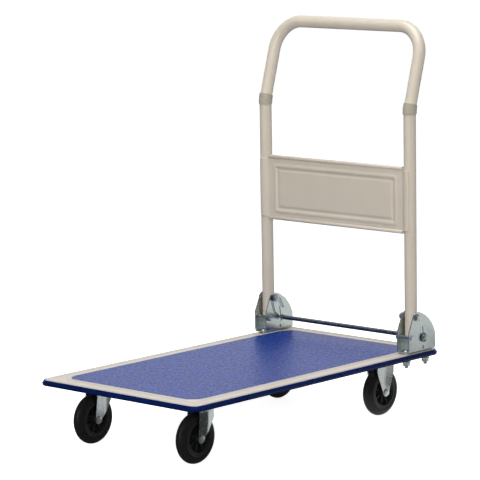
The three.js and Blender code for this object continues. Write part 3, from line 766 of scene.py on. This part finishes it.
def axle_piece(name, outside):
    """Axle bolt about Z with washers, a hex head at the +Z end and a lock nut at the other."""
    return joined(
        name,
        turned("shank", [(3.9, -outside - 2), (3.9, outside + 1)], 24),
        washer("washer_out", 7.6, 3.8, outside, outside + 0.7),
        hexagon("head", 12, outside + 0.6, outside + 2.4, chamfers=(False, True)),
        dome("crown", 4.7, 1.1, outside + 2.2),
        washer("washer_in", 8.2, 4.1, -outside - 1.4, -outside),
        hexagon("nut", 13, -outside - 6.6, -outside - 1.3, bore=4.0),
        turned("nut_collar", [(5.6, -outside - 6.4), (5.6, -outside - 7.6), (4.9, -outside - 8.0),
                              (4.0, -outside - 8.0), (4.0, -outside - 6.4)], 32, wrap=True),
        put(stud("thread", 4.0, outside, outside + 8.6), way="-z"))


LEG_SHEET = 2.5
LEG_MIDDLE = half_mm("wheel_hub_front_right")[0] + 0.4 + LEG_SHEET / 2  # sheet's middle from the wheel's
WHEEL_Z = middle_mm("tyre_front_right").z
TIP = 9.0  # round end of a leg about the axle


def leg_rows(top_z, front_at, rear_at, axle_y, bend):
    """Rows of a leg from the bend at the crown down to the tip: (x of the sheet, z, front y, rear y)."""
    rows = []
    leg_steps, tip_steps = 10, 8
    straight_top = top_z - LEG_SHEET / 2 - bend
    for i in range(leg_steps + 1):
        z = straight_top + (WHEEL_Z - straight_top) * i / leg_steps
        rows.append((LEG_MIDDLE, z, front_at(z), rear_at(z)))
    for i in range(1, tip_steps + 1):
        angle = pi / 2 * i / tip_steps
        width = max(TIP * cos(angle), 0.4)
        rows.append((LEG_MIDDLE, WHEEL_Z - TIP * sin(angle), axle_y - width, axle_y + width))
    return rows


def fork_sheet(name, top_z, front_at, rear_at, axle_y, crown_front, crown_rear, tuck_from, tuck_slope):
    """A fork pressed from one sheet: leg, crown and leg, its rear flanks tucked in behind tuck_from."""
    bend = 4.5
    half = leg_rows(top_z, front_at, rear_at, axle_y, bend)[::-1]
    start = half[-1][1]
    middle_z = top_z - LEG_SHEET / 2
    bend_steps, crown_steps = 6, 5
    for i in range(1, bend_steps + 1):
        angle = pi / 2 * i / bend_steps
        x = LEG_MIDDLE - bend + bend * cos(angle)
        z = middle_z - bend + bend * sin(angle)
        share = i / bend_steps
        front = front_at(start) * (1 - share) + crown_front(x) * share
        rear = rear_at(start) * (1 - share) + crown_rear(x) * share
        half.append((x, z, front, rear))
    for i in range(1, crown_steps + 1):
        x = (LEG_MIDDLE - bend) * (1 - i / crown_steps)
        half.append((x, middle_z, crown_front(x), crown_rear(x)))
    rows = half + [(-x, z, front, rear) for x, z, front, rear in half[-2::-1]]
    columns, soft = 22, 3.0
    points = []
    for x, z, front, rear in rows:
        for c in range(columns):
            y = front + (rear - front) * c / (columns - 1)
            past = max(tuck_from(y), 0)
            tuck = tuck_slope * (past * past / (past + soft))
            points.append((x * (1 - tuck / LEG_MIDDLE), y, z))
    sheet = mesh_object(name, points, grid_faces(columns, len(rows)))
    return bevelled(thickened(sheet, LEG_SHEET, True), 0.5, 50)


def between(low, low_value, high, high_value):
    """A straight line between two stations, held level past them."""
    def value(at):
        t = min(max((at - low) / (high - low), 0), 1)
        return low_value + (high_value - low_value) * t
    return value


def swivel_fork_sheet(name):
    """The swivel fork: its axle trails ahead of the kingpin, its flanks converge at the back."""
    crown_top = box_mm("swivel_fork_right")[1].z
    axle = middle_mm("tyre_front_right").y - middle_mm("kingpin_right").y
    crown_front, round_back = -31, 24.0
    front = between(WHEEL_Z, axle - TIP, crown_top, crown_front)
    rear = between(WHEEL_Z, axle + TIP - 0.5, crown_top - 22, 12)
    return fork_sheet(
        name, crown_top, front, rear, axle,
        lambda x: crown_front + 3 * (1 - abs(x) / LEG_MIDDLE),
        lambda x: sqrt(max(round_back ** 2 - x ** 2, 0)),
        lambda y: y + 13, tan(radians(17)))


def rigid_fork_sheet(name):
    """The rigid fork: an even taper to the axle, its front flanks slightly tucked."""
    plate_bottom = box_mm("rigid_fork_right")[1].z - LEG_SHEET
    front = between(WHEEL_Z, -TIP, plate_bottom - 28, -24)
    rear = between(WHEEL_Z, TIP, plate_bottom - 28, 24)
    return fork_sheet(
        name, plate_bottom, front, rear, 0, lambda x: -25, lambda x: 25,
        lambda y: -y - 1, tan(radians(7)))


def caster_plate(name, kingpin_bore):
    """A pressed mounting plate with slotted corner holes, and its four bolts, about Z at the plate's top."""
    half_x, half_y, _ = half_mm("swivel_plate_right")
    thick, inset = 2.5, 9
    slot_radius, slot_half = 4.6, 2
    spots = [(sx * (half_x - inset), sy * (half_y - inset)) for sx in (-1, 1) for sy in (-1, 1)]
    holes = [arc(x, y + slot_half, slot_radius, 0, 180, 8) + arc(x, y - slot_half, slot_radius, 180, 360, 8)
             for x, y in spots]
    if kingpin_bore:
        holes.append(circle(0, 0, 5.4))
    base = put(plate(name, rounded_box(half_x, half_y, 7), holes, thick, 0.35), (0, 0, -thick / 2))
    bolts = []
    for x, y in spots:
        bolt = joined("bolt", washer("w", 8.2, 4.1, thick, thick + 1.5),
                      hexagon("h", 13, thick + 1.4, thick + 6.4, 4.0), stud("s", 3.9, thick, thick + 8.2))
        bolts.append(put(bolt, (x, y, 0), "-z"))
    return base, joined(name + "_bolts", *bolts)


def race_piece(name):
    """Ball race under the swivel plate, about Z at its height above the floor."""
    low = box_mm("swivel_bearing_right")[0].z
    top = box_mm("swivel_plate_right")[1].z - 2.6
    profile = [(6, low + 3.3), (21.5, low + 3.3), (23.2, low + 3.7), (24, low + 4.8), (24, top - 2.2),
               (23.4, top - 0.8), (22.4, top), (6, top)]
    return turned(name, profile, 56, wrap=True)


def bearing_piece(name):
    """Lower ball cup, about Z."""
    low, high = (corner.z for corner in box_mm("swivel_bearing_right"))
    return turned(name, [(14, low), (21, low), (22, low + 1), (22, high - 0.9), (21.2, high), (14, high)],
                  56, wrap=True)


def kingpin_piece(name):
    """Kingpin rivet about Z with a peened head below the crown."""
    low, high = (corner.z for corner in box_mm("kingpin_right"))
    return turned(name, [(5, low), (7.6, low + 0.4), (8.5, low + 1.4), (8.5, low + 2.8), (5, low + 3.0),
                         (5, high - 0.6), (4.4, high)], 36)


def place_wheel(label, body, fork_body):
    """Tyre, hub and axle bolt of one wheel."""
    where = {"at": middle_mm(f"tyre_{label}"), "way": "x"}
    outside = LEG_MIDDLE + LEG_SHEET / 2 + 0.3
    dress(tyre_piece(f"tyre_ring_{label}"), TYRE, body, f"tyre_{label}", sharp=55, **where)
    dress(hub_piece(f"hub_core_{label}"), BLACK, body, f"wheel_hub_{label}", sharp=40, **where)
    dress(axle_piece(f"axle_set_{label}", outside), ZINC, fork_body, f"axle_bolt_{label}", **where)


for side_name, side in SIDES:
    front, rear = f"front_{side_name}", f"rear_{side_name}"
    swivel = f"swivel_{side_name}"
    place_wheel(front, f"wheel_{front}", swivel)
    place_wheel(rear, f"wheel_{rear}", "deck")

    pin = middle_mm(f"kingpin_{side_name}")
    foot = (pin.x, pin.y, 0)
    dress(swivel_fork_sheet(f"fork_pressing_{front}"), SHADED_FORK_ZINC, swivel, f"swivel_fork_{side_name}", at=foot)
    plate_at = (pin.x, pin.y, box_mm(f"swivel_plate_{side_name}")[1].z)
    base, bolts = caster_plate(f"caster_plate_{front}", True)
    base = joined(f"caster_plate_{front}", put(base, plate_at), put(race_piece("race"), foot))
    dress(base, ZINC, "deck", f"swivel_plate_{side_name}")
    dress(bolts, ZINC, "deck", at=plate_at)
    dress(bearing_piece(f"ball_cup_{side_name}"), SPRING, "deck", f"swivel_bearing_{side_name}", at=foot)
    dress(kingpin_piece(f"kingpin_rivet_{side_name}"), ZINC, "deck", f"kingpin_{side_name}", at=foot)

    wheel_at = middle_mm(f"tyre_{rear}")
    foot = (wheel_at.x, wheel_at.y, 0)
    plate_at = (wheel_at.x, wheel_at.y, box_mm(f"rigid_fork_{side_name}")[1].z)
    dress(rigid_fork_sheet(f"fork_pressing_{rear}"), SHADED_FORK_ZINC, "deck", f"rigid_fork_{side_name}", at=foot)
    for piece in caster_plate(f"caster_plate_{rear}", False):
        dress(piece, ZINC, "deck", at=plate_at)


# ---- hinge brackets
POST_X = middle_mm("pivot_sleeve_right").x
PIVOT = middle_mm("pivot_nut_right").yz
ROD = middle_mm("release_rod").yz
STOP = middle_mm("stop_pin_right").yz
rod_joint = next(j for j in frame["joints"] if j["name"] == "release_press")
ROD_WAY = Vector(rod_joint["axis"][1:])
ROD_TRAVEL = rod_joint["range_m"][1] / MM
SHEET = 2.3
BRACKET_LOW, BRACKET_HIGH = box_mm("hinge_bracket_right")
BRACKET_HALF = half_mm("hinge_bracket_right")[0]
COIL_LENGTH = 3.2  # the return spring's coil, between the bracket and the pivot nut
WIRE = 0.8
OUTER_FACE = POST_X + BRACKET_HALF + 0.3
INNER_FACE = POST_X - BRACKET_HALF - 0.3
OUT, INSIDE = OUTER_FACE - POST_X, POST_X - INNER_FACE  # the same faces, measured from the post


def slot_outline():
    """The release rod's slot in Y and Z."""
    radius = 3.4
    lean = degrees(atan2(ROD_WAY.x, -ROD_WAY.y))
    top = ROD - ROD_WAY * 20
    bottom = ROD + ROD_WAY * (ROD_TRAVEL + 0.3)
    return arc(top.x, top.y, radius, lean, lean + 180, 10) + arc(
        bottom.x, bottom.y, radius, lean + 180, lean + 360, 10)


def bracket_piece(name):
    """The hinge bracket: a bent channel cut to the side outline, with its slot and holes."""
    low, high = BRACKET_LOW, BRACKET_HIGH
    shoulder, crest, heel = (high.y, 167), (292, high.z), (282, high.z - 7)
    brow = (312, high.z - 5)
    outline = [(low.y, low.z), (high.y, low.z), shoulder]
    outline += quadratic(shoulder, (high.y - 10, 197), brow, 10)
    outline += quadratic(brow, (303, high.z), crest, 6)
    outline += quadratic(crest, (284.5, high.z), heel, 6)
    outline += rounded([(*heel, 0), (low.y, 178, 6), (low.y, low.z, 0)], 5)[1:-1]
    spring_hole = circle(311.6, 143.5, 3.1, 20)
    holes = [slot_outline(), circle(*PIVOT, 4.4), circle(*STOP, 4.6), spring_hole]
    cutter = put(plate("cutter", outline, holes, 2 * BRACKET_HALF + 20, 0), way="x")
    half, bend = BRACKET_HALF, 5.0
    top = high.z + 10
    outer = [(-half, top)] + arc(-half + bend, low.z + bend, bend, 180, 270, 6)
    outer += arc(half - bend, low.z + bend, bend, 270, 360, 6) + [(half, top)]
    thin = half - SHEET
    inner = [(thin, top)] + arc(half - bend, low.z + bend, bend - SHEET, 360, 270, 6)
    inner += arc(-half + bend, low.z + bend, bend - SHEET, 270, 180, 6) + [(-thin, top)]
    channel = loft(name, [[(x, y, z) for x, z in outer + inner] for y in (low.y - 5, high.y + 5)])
    return bevelled(cut_to(channel, cutter), 0.35, 50)


def pivot_set(name):
    """Pivot bolt about Z, in distances from the post: its head and washer outside the bracket."""
    return joined(
        name,
        turned("shank", [(4, -INSIDE - COIL_LENGTH - 6), (4, OUT + 1)], 28),
        washer("w", 8.0, 4.2, OUT, OUT + 1.2),
        hexagon("h", 12.8, OUT + 1.1, OUT + 5.0, chamfers=(False, True)))


def pivot_nut_set(name):
    """Pivot nut and washer about Z, inside the bracket past the spring's coil."""
    inside = INSIDE + COIL_LENGTH
    return joined(
        name,
        washer("w", 7.8, 4.2, -inside - 1.4, -inside - 0.3),
        hexagon("h", 12.8, -inside - 6.2, -inside - 1.3, 4.1),
        put(stud("s", 3.9, inside, inside + 7.0), way="-z"))


def stop_set(name):
    """Stop pin about Z: shouldered pin, riveted outside, nut and washer inside."""
    return joined(
        name,
        turned("pin", [(4.0, -INSIDE - 1), (4.0, OUT + 0.3), (4.3, OUT + 0.2), (5.6, OUT + 0.4),
                       (5.3, OUT + 0.9), (4.2, OUT + 1.4), (1.0, OUT + 1.5)], 32),
        washer("w", 7.8, 4.2, -INSIDE - 1.3, -INSIDE),
        hexagon("h", 11.5, -INSIDE - 5.0, -INSIDE - 1.2, 3.4),
        put(stud("s", 3.3, INSIDE, INSIDE + 4.9, 1.0), way="-z"))


def smooth_path(points):
    """A Catmull-Rom curve through points."""
    steps = 6
    points = [Vector(p) for p in points]
    ends = [points[0] * 2 - points[1]] + points + [points[-1] * 2 - points[-2]]
    path = []
    for i in range(1, len(ends) - 2):
        a, b, c, d = ends[i - 1:i + 3]
        for k in range(steps):
            t = k / steps
            path.append(0.5 * (2 * b + (c - a) * t + (2 * a - 5 * b + 4 * c - d) * t * t
                               + (3 * b - a - 3 * c + d) * t ** 3))
    path.append(points[-1])
    return path


def spring_coil(name, side):
    """The torsion spring's coil round the pivot bolt, with the leg that is hooked into the bracket."""
    coil_radius, turns, steps = 5.6, 2, 20
    near, far = INNER_FACE - WIRE, INNER_FACE - COIL_LENGTH + WIRE
    path = []
    for i in range(turns * steps + 1):
        angle = radians(200) - tau * i / steps
        x = near + (far - near) * i / (turns * steps)
        path.append((side * x, PIVOT.x + coil_radius * cos(angle), PIVOT.y + coil_radius * sin(angle)))
    x = side * far
    leg = [(x, PIVOT.x + y, PIVOT.y + z)
           for y, z in ((-2, 6.4), (5, 6.6), (13.5, 0.5), (19, -7), (26.5, -21.5))]
    bent_in = (side * (INNER_FACE + 1.5), PIVOT.x + 27.5, PIVOT.y - 23.5)
    return sweep(name, path + smooth_path(leg + [bent_in]), WIRE, 8)


def spring_leg(name, side):
    """The torsion spring's other leg, from the coil down to a hook round the rod."""
    x = side * (INNER_FACE - COIL_LENGTH / 2)
    start = [(-5.4, -1), (-5.0, -9), (-2.6, -19), (0.5, -28), (6, -34.5)]
    hook_radius = 4.3
    hook = [(ROD.x - PIVOT.x + hook_radius * cos(radians(a)),
             ROD.y - PIVOT.y + hook_radius * sin(radians(a))) for a in (150, 105, 60, 10, -40, -85)]
    path = smooth_path([(x, PIVOT.x + y, PIVOT.y + z) for y, z in start + hook])
    return sweep(name, path, WIRE, 8)


def coil_sleeve(name):
    """The close-wound coil over the release rod, along X."""
    low, high = box_mm("release_sleeve")
    centre = (low + high) / 2
    wire = 0.75
    coil = (high.z - low.z) / 2 - wire
    pitch = 2 * wire * 1.02
    steps = 16
    length = high.x - low.x - 2 * wire
    path = []
    for i in range(int(length / pitch * steps) + 1):
        angle = tau * i / steps
        x = low.x + wire + pitch * i / steps
        path.append((x, centre.y + coil * cos(angle), centre.z + coil * sin(angle)))
    return sweep(name, path, wire, 7)


def rod_piece(name):
    """The release rod about Z with chamfered ends, and a collar at each end of its coil."""
    half = half_mm("release_rod")[0]
    collar = box_mm("release_sleeve")[1].x
    near, far, wide = collar + 0.6, collar + 3.6, 6.1
    side = [(3, near), (wide - 0.4, near), (wide, near + 0.4), (wide, far - 0.4), (wide - 0.4, far), (3, far),
            (3, half - 0.8), (2.2, half)]
    return turned(name, [(r, -x) for r, x in side[::-1]] + side, 36)


def rod_cap(name):
    """Thick retaining washer on the rod's end, about Z from the bracket's face."""
    thick = 3.2
    return turned(name, [(3.2, 0), (9.0, 0), (9.5, 0.5), (9.5, thick - 0.8), (9.0, thick - 0.2), (8.0, thick),
                         (6.6, thick - 0.7), (3.2, thick - 0.7)], 48, wrap=True)


def rod_nut(name):
    """Small nut on the rod's threaded end, over a toothed lock washer."""
    teeth = []
    for angle in round_turn(6):
        turn = Matrix.Rotation(angle, 4, "Z")
        high = [turn @ Vector(p) for p in ((4, -1.1, 2.6), (7.4, -0.7, 3.5), (7.4, 0.7, 3.5), (4, 1.1, 2.6))]
        teeth.append(block([(p.x, p.y, p.z - 0.6) for p in high], high))
    return joined(name, hexagon("nut", 8.6, 2.5, 5.6, 3.2), *teeth)


def flange_nut(name):
    """Flange nut and two spacers about Z, below their seat at the origin."""
    return joined(
        name,
        washer("spacer", 8.2, 4.2, -2.3, 0),
        washer("spacer", 8.2, 4.2, -4.6, -2.4),
        turned("flange", [(4.2, -4.7), (8.7, -4.7), (9.2, -5.2), (9.0, -5.9), (6.8, -7.4), (4.2, -7.4)],
               40, wrap=True),
        hexagon("hex", 12.8, -13, -6.4, 4.2))


def carriage_bolt(name, low):
    """Domed bolt about Z from the bracket's base down to a threaded end at a height."""
    seat, thread_top = BRACKET_LOW.z + SHEET + 0.1, 118
    return joined(name, dome("d", 8.5, 4.0, seat),
                  turned("s", [(4, thread_top - 3), (4, seat + 1)], 28),
                  put(stud("t", 3.95, 0, thread_top - low), (0, 0, thread_top), "-z"))


for side_name, side in SIDES:
    outward = "x" if side > 0 else "-x"
    x = side * POST_X
    for make, piece, node, at, way in (
            (bracket_piece, "channel_bracket", "hinge_bracket", (x, 0, 0), "z"),
            (pivot_set, "pivot_bolt_set", "pivot_bolt", (x, *PIVOT), outward),
            (pivot_nut_set, "pivot_nut_set", "pivot_nut", (x, *PIVOT), outward),
            (stop_set, "stop_pin_set", "stop_pin", (x, *STOP), outward)):
        dress(make(f"{piece}_{side_name}"), ZINC, "deck", f"{node}_{side_name}", at=at, way=way)
    coil = spring_coil(f"spring_coil_{side_name}", side)
    dress(coil, SPRING, "deck", f"return_spring_{side_name}", sharp=0)
    leg = dress(spring_leg(f"spring_leg_{side_name}", side), SPRING, None, sharp=0)
    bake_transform(leg)
    rod_end = {"at": (side * OUTER_FACE, *ROD), "way": outward}
    # the end cap is zinc given the darker steel finish: painted shade on its rim
    dress(rod_cap(f"rod_cap_{side_name}"), ZINC_IN_PAINTED_SHADE, "release_bar", f"rod_nut_{side_name}", **rod_end)
    dress(rod_nut(f"rod_end_nut_{side_name}"), ZINC, "release_bar", **rod_end)
    for end in ("front", "rear"):
        label = f"{end}_{side_name}"
        low, high = box_mm(f"bracket_bolt_{label}")
        spot = ((low.x + high.x) / 2, (low.y + high.y) / 2)
        nut_at = (*spot, box_mm(f"bracket_nut_{label}")[1].z)
        bolt = carriage_bolt(f"carriage_bolt_{label}", low.z)
        dress(bolt, ZINC, "deck", f"bracket_bolt_{label}", at=(*spot, 0))
        dress(flange_nut(f"flange_nut_{label}"), ZINC, "deck", f"bracket_nut_{label}", at=nut_at)

dress(rod_piece("foot_rod"), ZINC, "release_bar", "release_rod", at=(0, *ROD), way="x")
dress(coil_sleeve("foot_rod_coil"), SPRING, "release_bar", "release_sleeve", sharp=0)


# ---- handle
FOOT_Z = box_mm("handle_tube")[0].z
tube_high = box_mm("handle_tube")[1]
TUBE = tube_high.x - POST_X  # tube's radius
WALL = 1.4
LEAN = radians(16.4)
BEND_Z = 631.0
LEAN_RADIUS = 60.0
GRIP_Z = tube_high.z - TUBE
GRIP_RADIUS = 62.0
UP = Vector((0, 0, 1))
LEANING = Vector((0, sin(LEAN), cos(LEAN)))
POST_Y = PIVOT.x
GRIP_Y = POST_Y + (GRIP_Z - BEND_Z) * tan(LEAN)


def bend(corner, into, out, radius, steps):
    """Points round an arc between two straight stretches that meet at a corner."""
    turn = into.angle(out)
    start = corner - into * radius * tan(turn / 2)
    side_way = (out - into * into.dot(out)).normalized()
    angles = [turn * i / steps for i in range(steps + 1)]
    return [start + into * radius * sin(a) + side_way * radius * (1 - cos(a)) for a in angles]


def post_corner(side):
    """Where the post's two straight stretches meet."""
    return Vector((side * POST_X, POST_Y, BEND_Z))


def half_handle(side):
    """Centre line from the post's foot to the grip's middle."""
    corner = Vector((side * POST_X, GRIP_Y, GRIP_Z))
    points = [Vector((side * POST_X, POST_Y, z)) for z in (FOOT_Z, 400)]
    points += bend(post_corner(side), UP, LEANING, LEAN_RADIUS, 10)
    points += bend(corner, LEANING, Vector((-side, 0, 0)), GRIP_RADIUS, 22)
    return points


def handle_piece():
    """The bent steel tube of the handle."""
    path = half_handle(-1) + [Vector((0, GRIP_Y, GRIP_Z))] + half_handle(1)[::-1]
    return sweep("bent_handle_tube", path, TUBE, 48, TUBE - WALL)


def collar_piece(name, side):
    """The plastic ring round the post's bend: a soft barrel with rolled lips."""
    length, outer = 10.0, 14.6
    corner = post_corner(side)
    arc_points = bend(corner, UP, LEANING, LEAN_RADIUS, 6)
    lip = ((0, 0.8), (0.35, 0.25), (1.0, 0))  # distances from the end, and how far each is drawn in
    ends = [corner - UP * (length - back) for back, _ in lip]
    tops = [corner + LEANING * (length - back) for back, _ in lip[::-1]]
    radii = [outer - drawn for _, drawn in lip]
    radii += [outer - 0.25] * len(arc_points) + radii[::-1]
    return sweep(name, ends + arc_points + tops, radii, 48, TUBE + 0.1)


def plug_piece(name, low):
    """The plastic plug in the post's foot, about Z from its lowest height."""
    return turned(name, [(9.5, low), (11.8, low + 0.3), (12.5, low + 1.0), (12.5, FOOT_Z - 0.1),
                         (11.0, FOOT_Z - 0.1), (11.0, FOOT_Z + 6)], 40)


dress(handle_piece(), HANDLE_PAINT, "handle", "handle_tube", sharp=50)
for side_name, side in SIDES:
    dress(collar_piece(f"collar_{side_name}", side), GREY, "handle", f"rest_ring_{side_name}", sharp=50)
    plug = plug_piece(f"foot_plug_{side_name}", box_mm(f"tube_plug_{side_name}")[0].z)
    dress(plug, BLACK, "handle", f"tube_plug_{side_name}", at=(side * POST_X, POST_Y, 0))
    spacer = frame["nodes"][f"pivot_sleeve_{side_name}"]
    smooth(spacer, 35)
    paint(spacer, ZINC)


# ---- panel
panel_low, panel_high = box_mm("handle_panel")
PANEL_SHEET = 1.3
ROLL = 4.0
PANEL_Y = 285.2  # middle of the sheet where it is flat
TAB_ANGLE = radians(29)
FRAME_HALF = (168.0, 53.0)  # the embossed frame's outer half size
FRAME_Z = 444.0


def emboss(x, z):
    """How far the pressed frame stands proud of the sheet (+) or behind it (-)."""
    radius = 9.0
    dx = abs(x) - (FRAME_HALF[0] - radius)
    dz = abs(z - FRAME_Z) - (FRAME_HALF[1] - radius)
    outside = hypot(max(dx, 0), max(dz, 0)) + min(max(dx, dz), 0) - radius
    inset = -outside
    stops = ((0.0, 0.0), (3.6, 1.3), (6.6, 1.3), (10.2, -1.3), (13.4, -1.3), (16.6, 0.3), (18.0, 0.3))
    if inset <= stops[0][0]:
        return 0.0
    for (a, first), (b, second) in zip(stops, stops[1:]):
        if inset <= b:
            t = (inset - a) / (b - a)
            return first + (second - first) * t * t * (3 - 2 * t)
    return stops[-1][1]


def panel_sheet():
    """The pressed panel: flat field with the embossed frame, ends wrapped round the posts' fronts."""
    radius = TUBE + 0.3 + PANEL_SHEET / 2
    meet = acos((POST_Y - PANEL_Y) / radius)  # where the flat field runs into the wrap
    flat_end = POST_X - radius * sin(meet)
    around = radius * (meet + TAB_ANGLE)
    half_z = (panel_high.z - panel_low.z) / 2 - ROLL
    middle_z = (panel_high.z + panel_low.z) / 2
    us = stations(flat_end + around, 2.2)
    vs = stations(half_z, 1.5)
    tab_half = half_z - 2.5
    points = []
    for row in rounded_grid(us, vs, 4.0):
        for s, v in row:
            sign = 1 if s > 0 else -1
            past = abs(s) - flat_end
            z = middle_z + v
            if past <= 0:
                points.append((s, PANEL_Y - emboss(s, z), z))
                continue
            narrow = min(past / 6, 1)
            z = middle_z + v * (1 - narrow * (1 - tab_half / half_z))
            angle = meet - past / radius
            points.append((sign * (POST_X - radius * sin(angle)), POST_Y - radius * cos(angle), z))
    sheet = mesh_object("embossed_panel", points, grid_faces(len(us), len(vs)))
    smooth(sheet, 50)
    return thickened(sheet, PANEL_SHEET, False)


def rolled_edge(name, z):
    """A hollow rolled edge along X with open ends."""
    half = POST_X - TUBE - 0.6
    y = PANEL_Y + 0.9
    path = [(-half, y, z), (-half + 0.4, y, z), (half - 0.4, y, z), (half, y, z)]
    return sweep(name, path, [ROLL - 0.3, ROLL, ROLL, ROLL - 0.3], 28, ROLL - 1.2)


def weld_spots(name, side):
    """Small weld beads where the rolled edges meet the posts."""
    angles = [pi * (i + 0.5) / 9 for i in range(9)]
    beads = []
    for z in (panel_low.z + ROLL, panel_high.z - ROLL):
        bead = turned("bead", [(2.2 * sin(a), -1.6 * cos(a)) for a in angles], 16)
        beads.append(put(bead, (side * (POST_X - TUBE * 0.88 - 0.6), POST_Y - TUBE * 0.55 + 0.4, z)))
    return joined(name, *beads)


dress(panel_sheet(), HANDLE_PAINT, "handle", "handle_panel")
dress(rolled_edge("rolled_edge_top", panel_high.z - ROLL), HANDLE_PAINT, "handle")
dress(rolled_edge("rolled_edge_bottom", panel_low.z + ROLL), HANDLE_PAINT, "handle")
for side_name, side in SIDES:
    dress(weld_spots(f"panel_welds_{side_name}", side), HANDLE_PAINT, "handle")


# ---- camera and set
def camera_view():
    """The camera: a long lens, slightly above the deck, turned a little about its own axis."""
    azimuth, elevation, roll = radians(42.598), radians(8.581), radians(-0.915)
    distance, drift_x, drift_y = 5.37695, 0.003994, 0.017183
    back = Vector((sin(azimuth) * cos(elevation), -cos(azimuth) * cos(elevation), sin(elevation)))
    level = Vector((cos(azimuth), sin(azimuth), 0))
    upright = back.cross(level)
    right = level * cos(roll) + upright * sin(roll)
    over = upright * cos(roll) - level * sin(roll)
    data = bpy.data.cameras.new("camera")
    data.sensor_width = 36
    data.lens = 201.97
    data.clip_end = 200
    camera = bpy.data.objects.new("camera", data)
    bpy.context.scene.collection.objects.link(camera)
    place = Vector((0, 0, 0.4)) + back * distance - right * drift_x - over * drift_y
    camera.matrix_world = Matrix.Translation(place) @ Matrix((right, over, back)).transposed().to_4x4()
    bpy.context.scene.camera = camera


def matt(name, grey, glow=0.0):
    """A plain matt finish for the set, with some light of its own."""
    return material(name).set(Base_Color=(grey, grey, grey), Roughness=0.9, Specular_IOR_Level=0.0,
                              Emission_Color=(1, 1, 1), Emission_Strength=glow)


def set_piece(name, low, high, z, finish, seen_by):
    """A level rectangle of the set, seen only by one kind of ray: camera, diffuse or glossy."""
    mesh = bpy.data.meshes.new(name)
    corners = [(low[0], low[1], z), (high[0], low[1], z), (high[0], high[1], z), (low[0], high[1], z)]
    mesh.from_pydata(corners, [], [(0, 1, 2, 3)])
    mesh.materials.append(finish)
    flat = new_object(name, mesh)
    flat.visible_camera = seen_by == "camera"
    flat.visible_diffuse = seen_by == "diffuse"
    flat.visible_glossy = seen_by == "glossy"
    flat.visible_shadow = False


def floor():
    """A plain pale floor; what light bounces off and what shows in gloss have their own grounds."""
    low, high = (-60.0, -60.0), (60.0, 60.0)
    set_piece("floor", low, high, 0, matt("floor_pale", 0.8, 0.86), "camera")
    set_piece("floor_bounce", low, high, -0.001, matt("floor_grey", 0.42), "diffuse")
    set_piece("floor_in_gloss", low, high, -0.002, matt("floor_dim", 0.10, 0.06), "glossy")
    set_piece("bright_card", (0.0, -0.08), high, -0.0015, matt("floor_bright", 0.25, 0.66), "glossy")
    dark = matt("card_black", 0.02)
    for where, near, far in (("front", (0.30, -0.16), (0.80, 0.36)), ("rear", (0.36, 0.68), (0.66, 0.86)),
                             ("wide", (0.74, 0.20), (1.15, 0.93)), ("side", (0.32, 0.46), (0.44, 0.62))):
        set_piece(f"dark_card_{where}", near, far, 0.001, dark, "glossy")


def softbox(name, at, aim, size, power, colour=(1, 1, 1), in_gloss=True):
    """A rectangular area light aimed at a point, and whether it shows in gloss."""
    data = bpy.data.lights.new(name, "AREA")
    data.shape = "RECTANGLE"
    data.size, data.size_y = size
    data.energy = power
    data.color = colour
    light = bpy.data.objects.new(name, data)
    bpy.context.scene.collection.objects.link(light)
    light.visible_glossy = in_gloss
    light.location = at
    light.rotation_euler = (Vector(aim) - Vector(at)).to_track_quat("-Z", "Y").to_euler()


def studio():
    """Soft lights, and a world that is white to the camera and darker towards the front to all else."""
    world = bpy.data.worlds.new("studio")
    n = Nodes(world)
    towards = n.add("ShaderNodeVectorMath", {0: n.place["Generated"], 1: (-0.55, 0.83, -0.35)},
                    operation="DOT_PRODUCT").outputs["Value"]
    sky = n.ramp(towards, ((0.24, (0.10, 0.105, 0.12)), (0.72, (1.0, 1.0, 1.0))))
    shaded = n.add("ShaderNodeBackground", {"Color": sky, "Strength": 1.0})
    plain = n.add("ShaderNodeBackground", {"Color": (1, 1, 1)})
    by_ray = n.add("ShaderNodeMixShader", {
        "Fac": n.add("ShaderNodeLightPath").outputs["Is Camera Ray"],
        1: shaded.outputs["Background"], 2: plain.outputs["Background"]})
    n.feed(n.tree.nodes["World Output"].inputs["Surface"], by_ray.outputs["Shader"])
    bpy.context.scene.world = world
    softbox("overhead", (0.1, -0.2, 3.0), (0, 0, 0), (2.6, 2.6), 70)
    softbox("front_fill", (2.9, -3.6, 1.9), (0, 0.1, 0.4), (1.8, 1.8), 114, (1, 0.99, 0.97), in_gloss=False)
    softbox("strip", (0.9, -3.2, 1.1), (0, 0.2, 0.5), (0.30, 1.8), 16)


camera_view()
floor()
studio()
bpy.context.scene.view_settings.view_transform = "Standard"
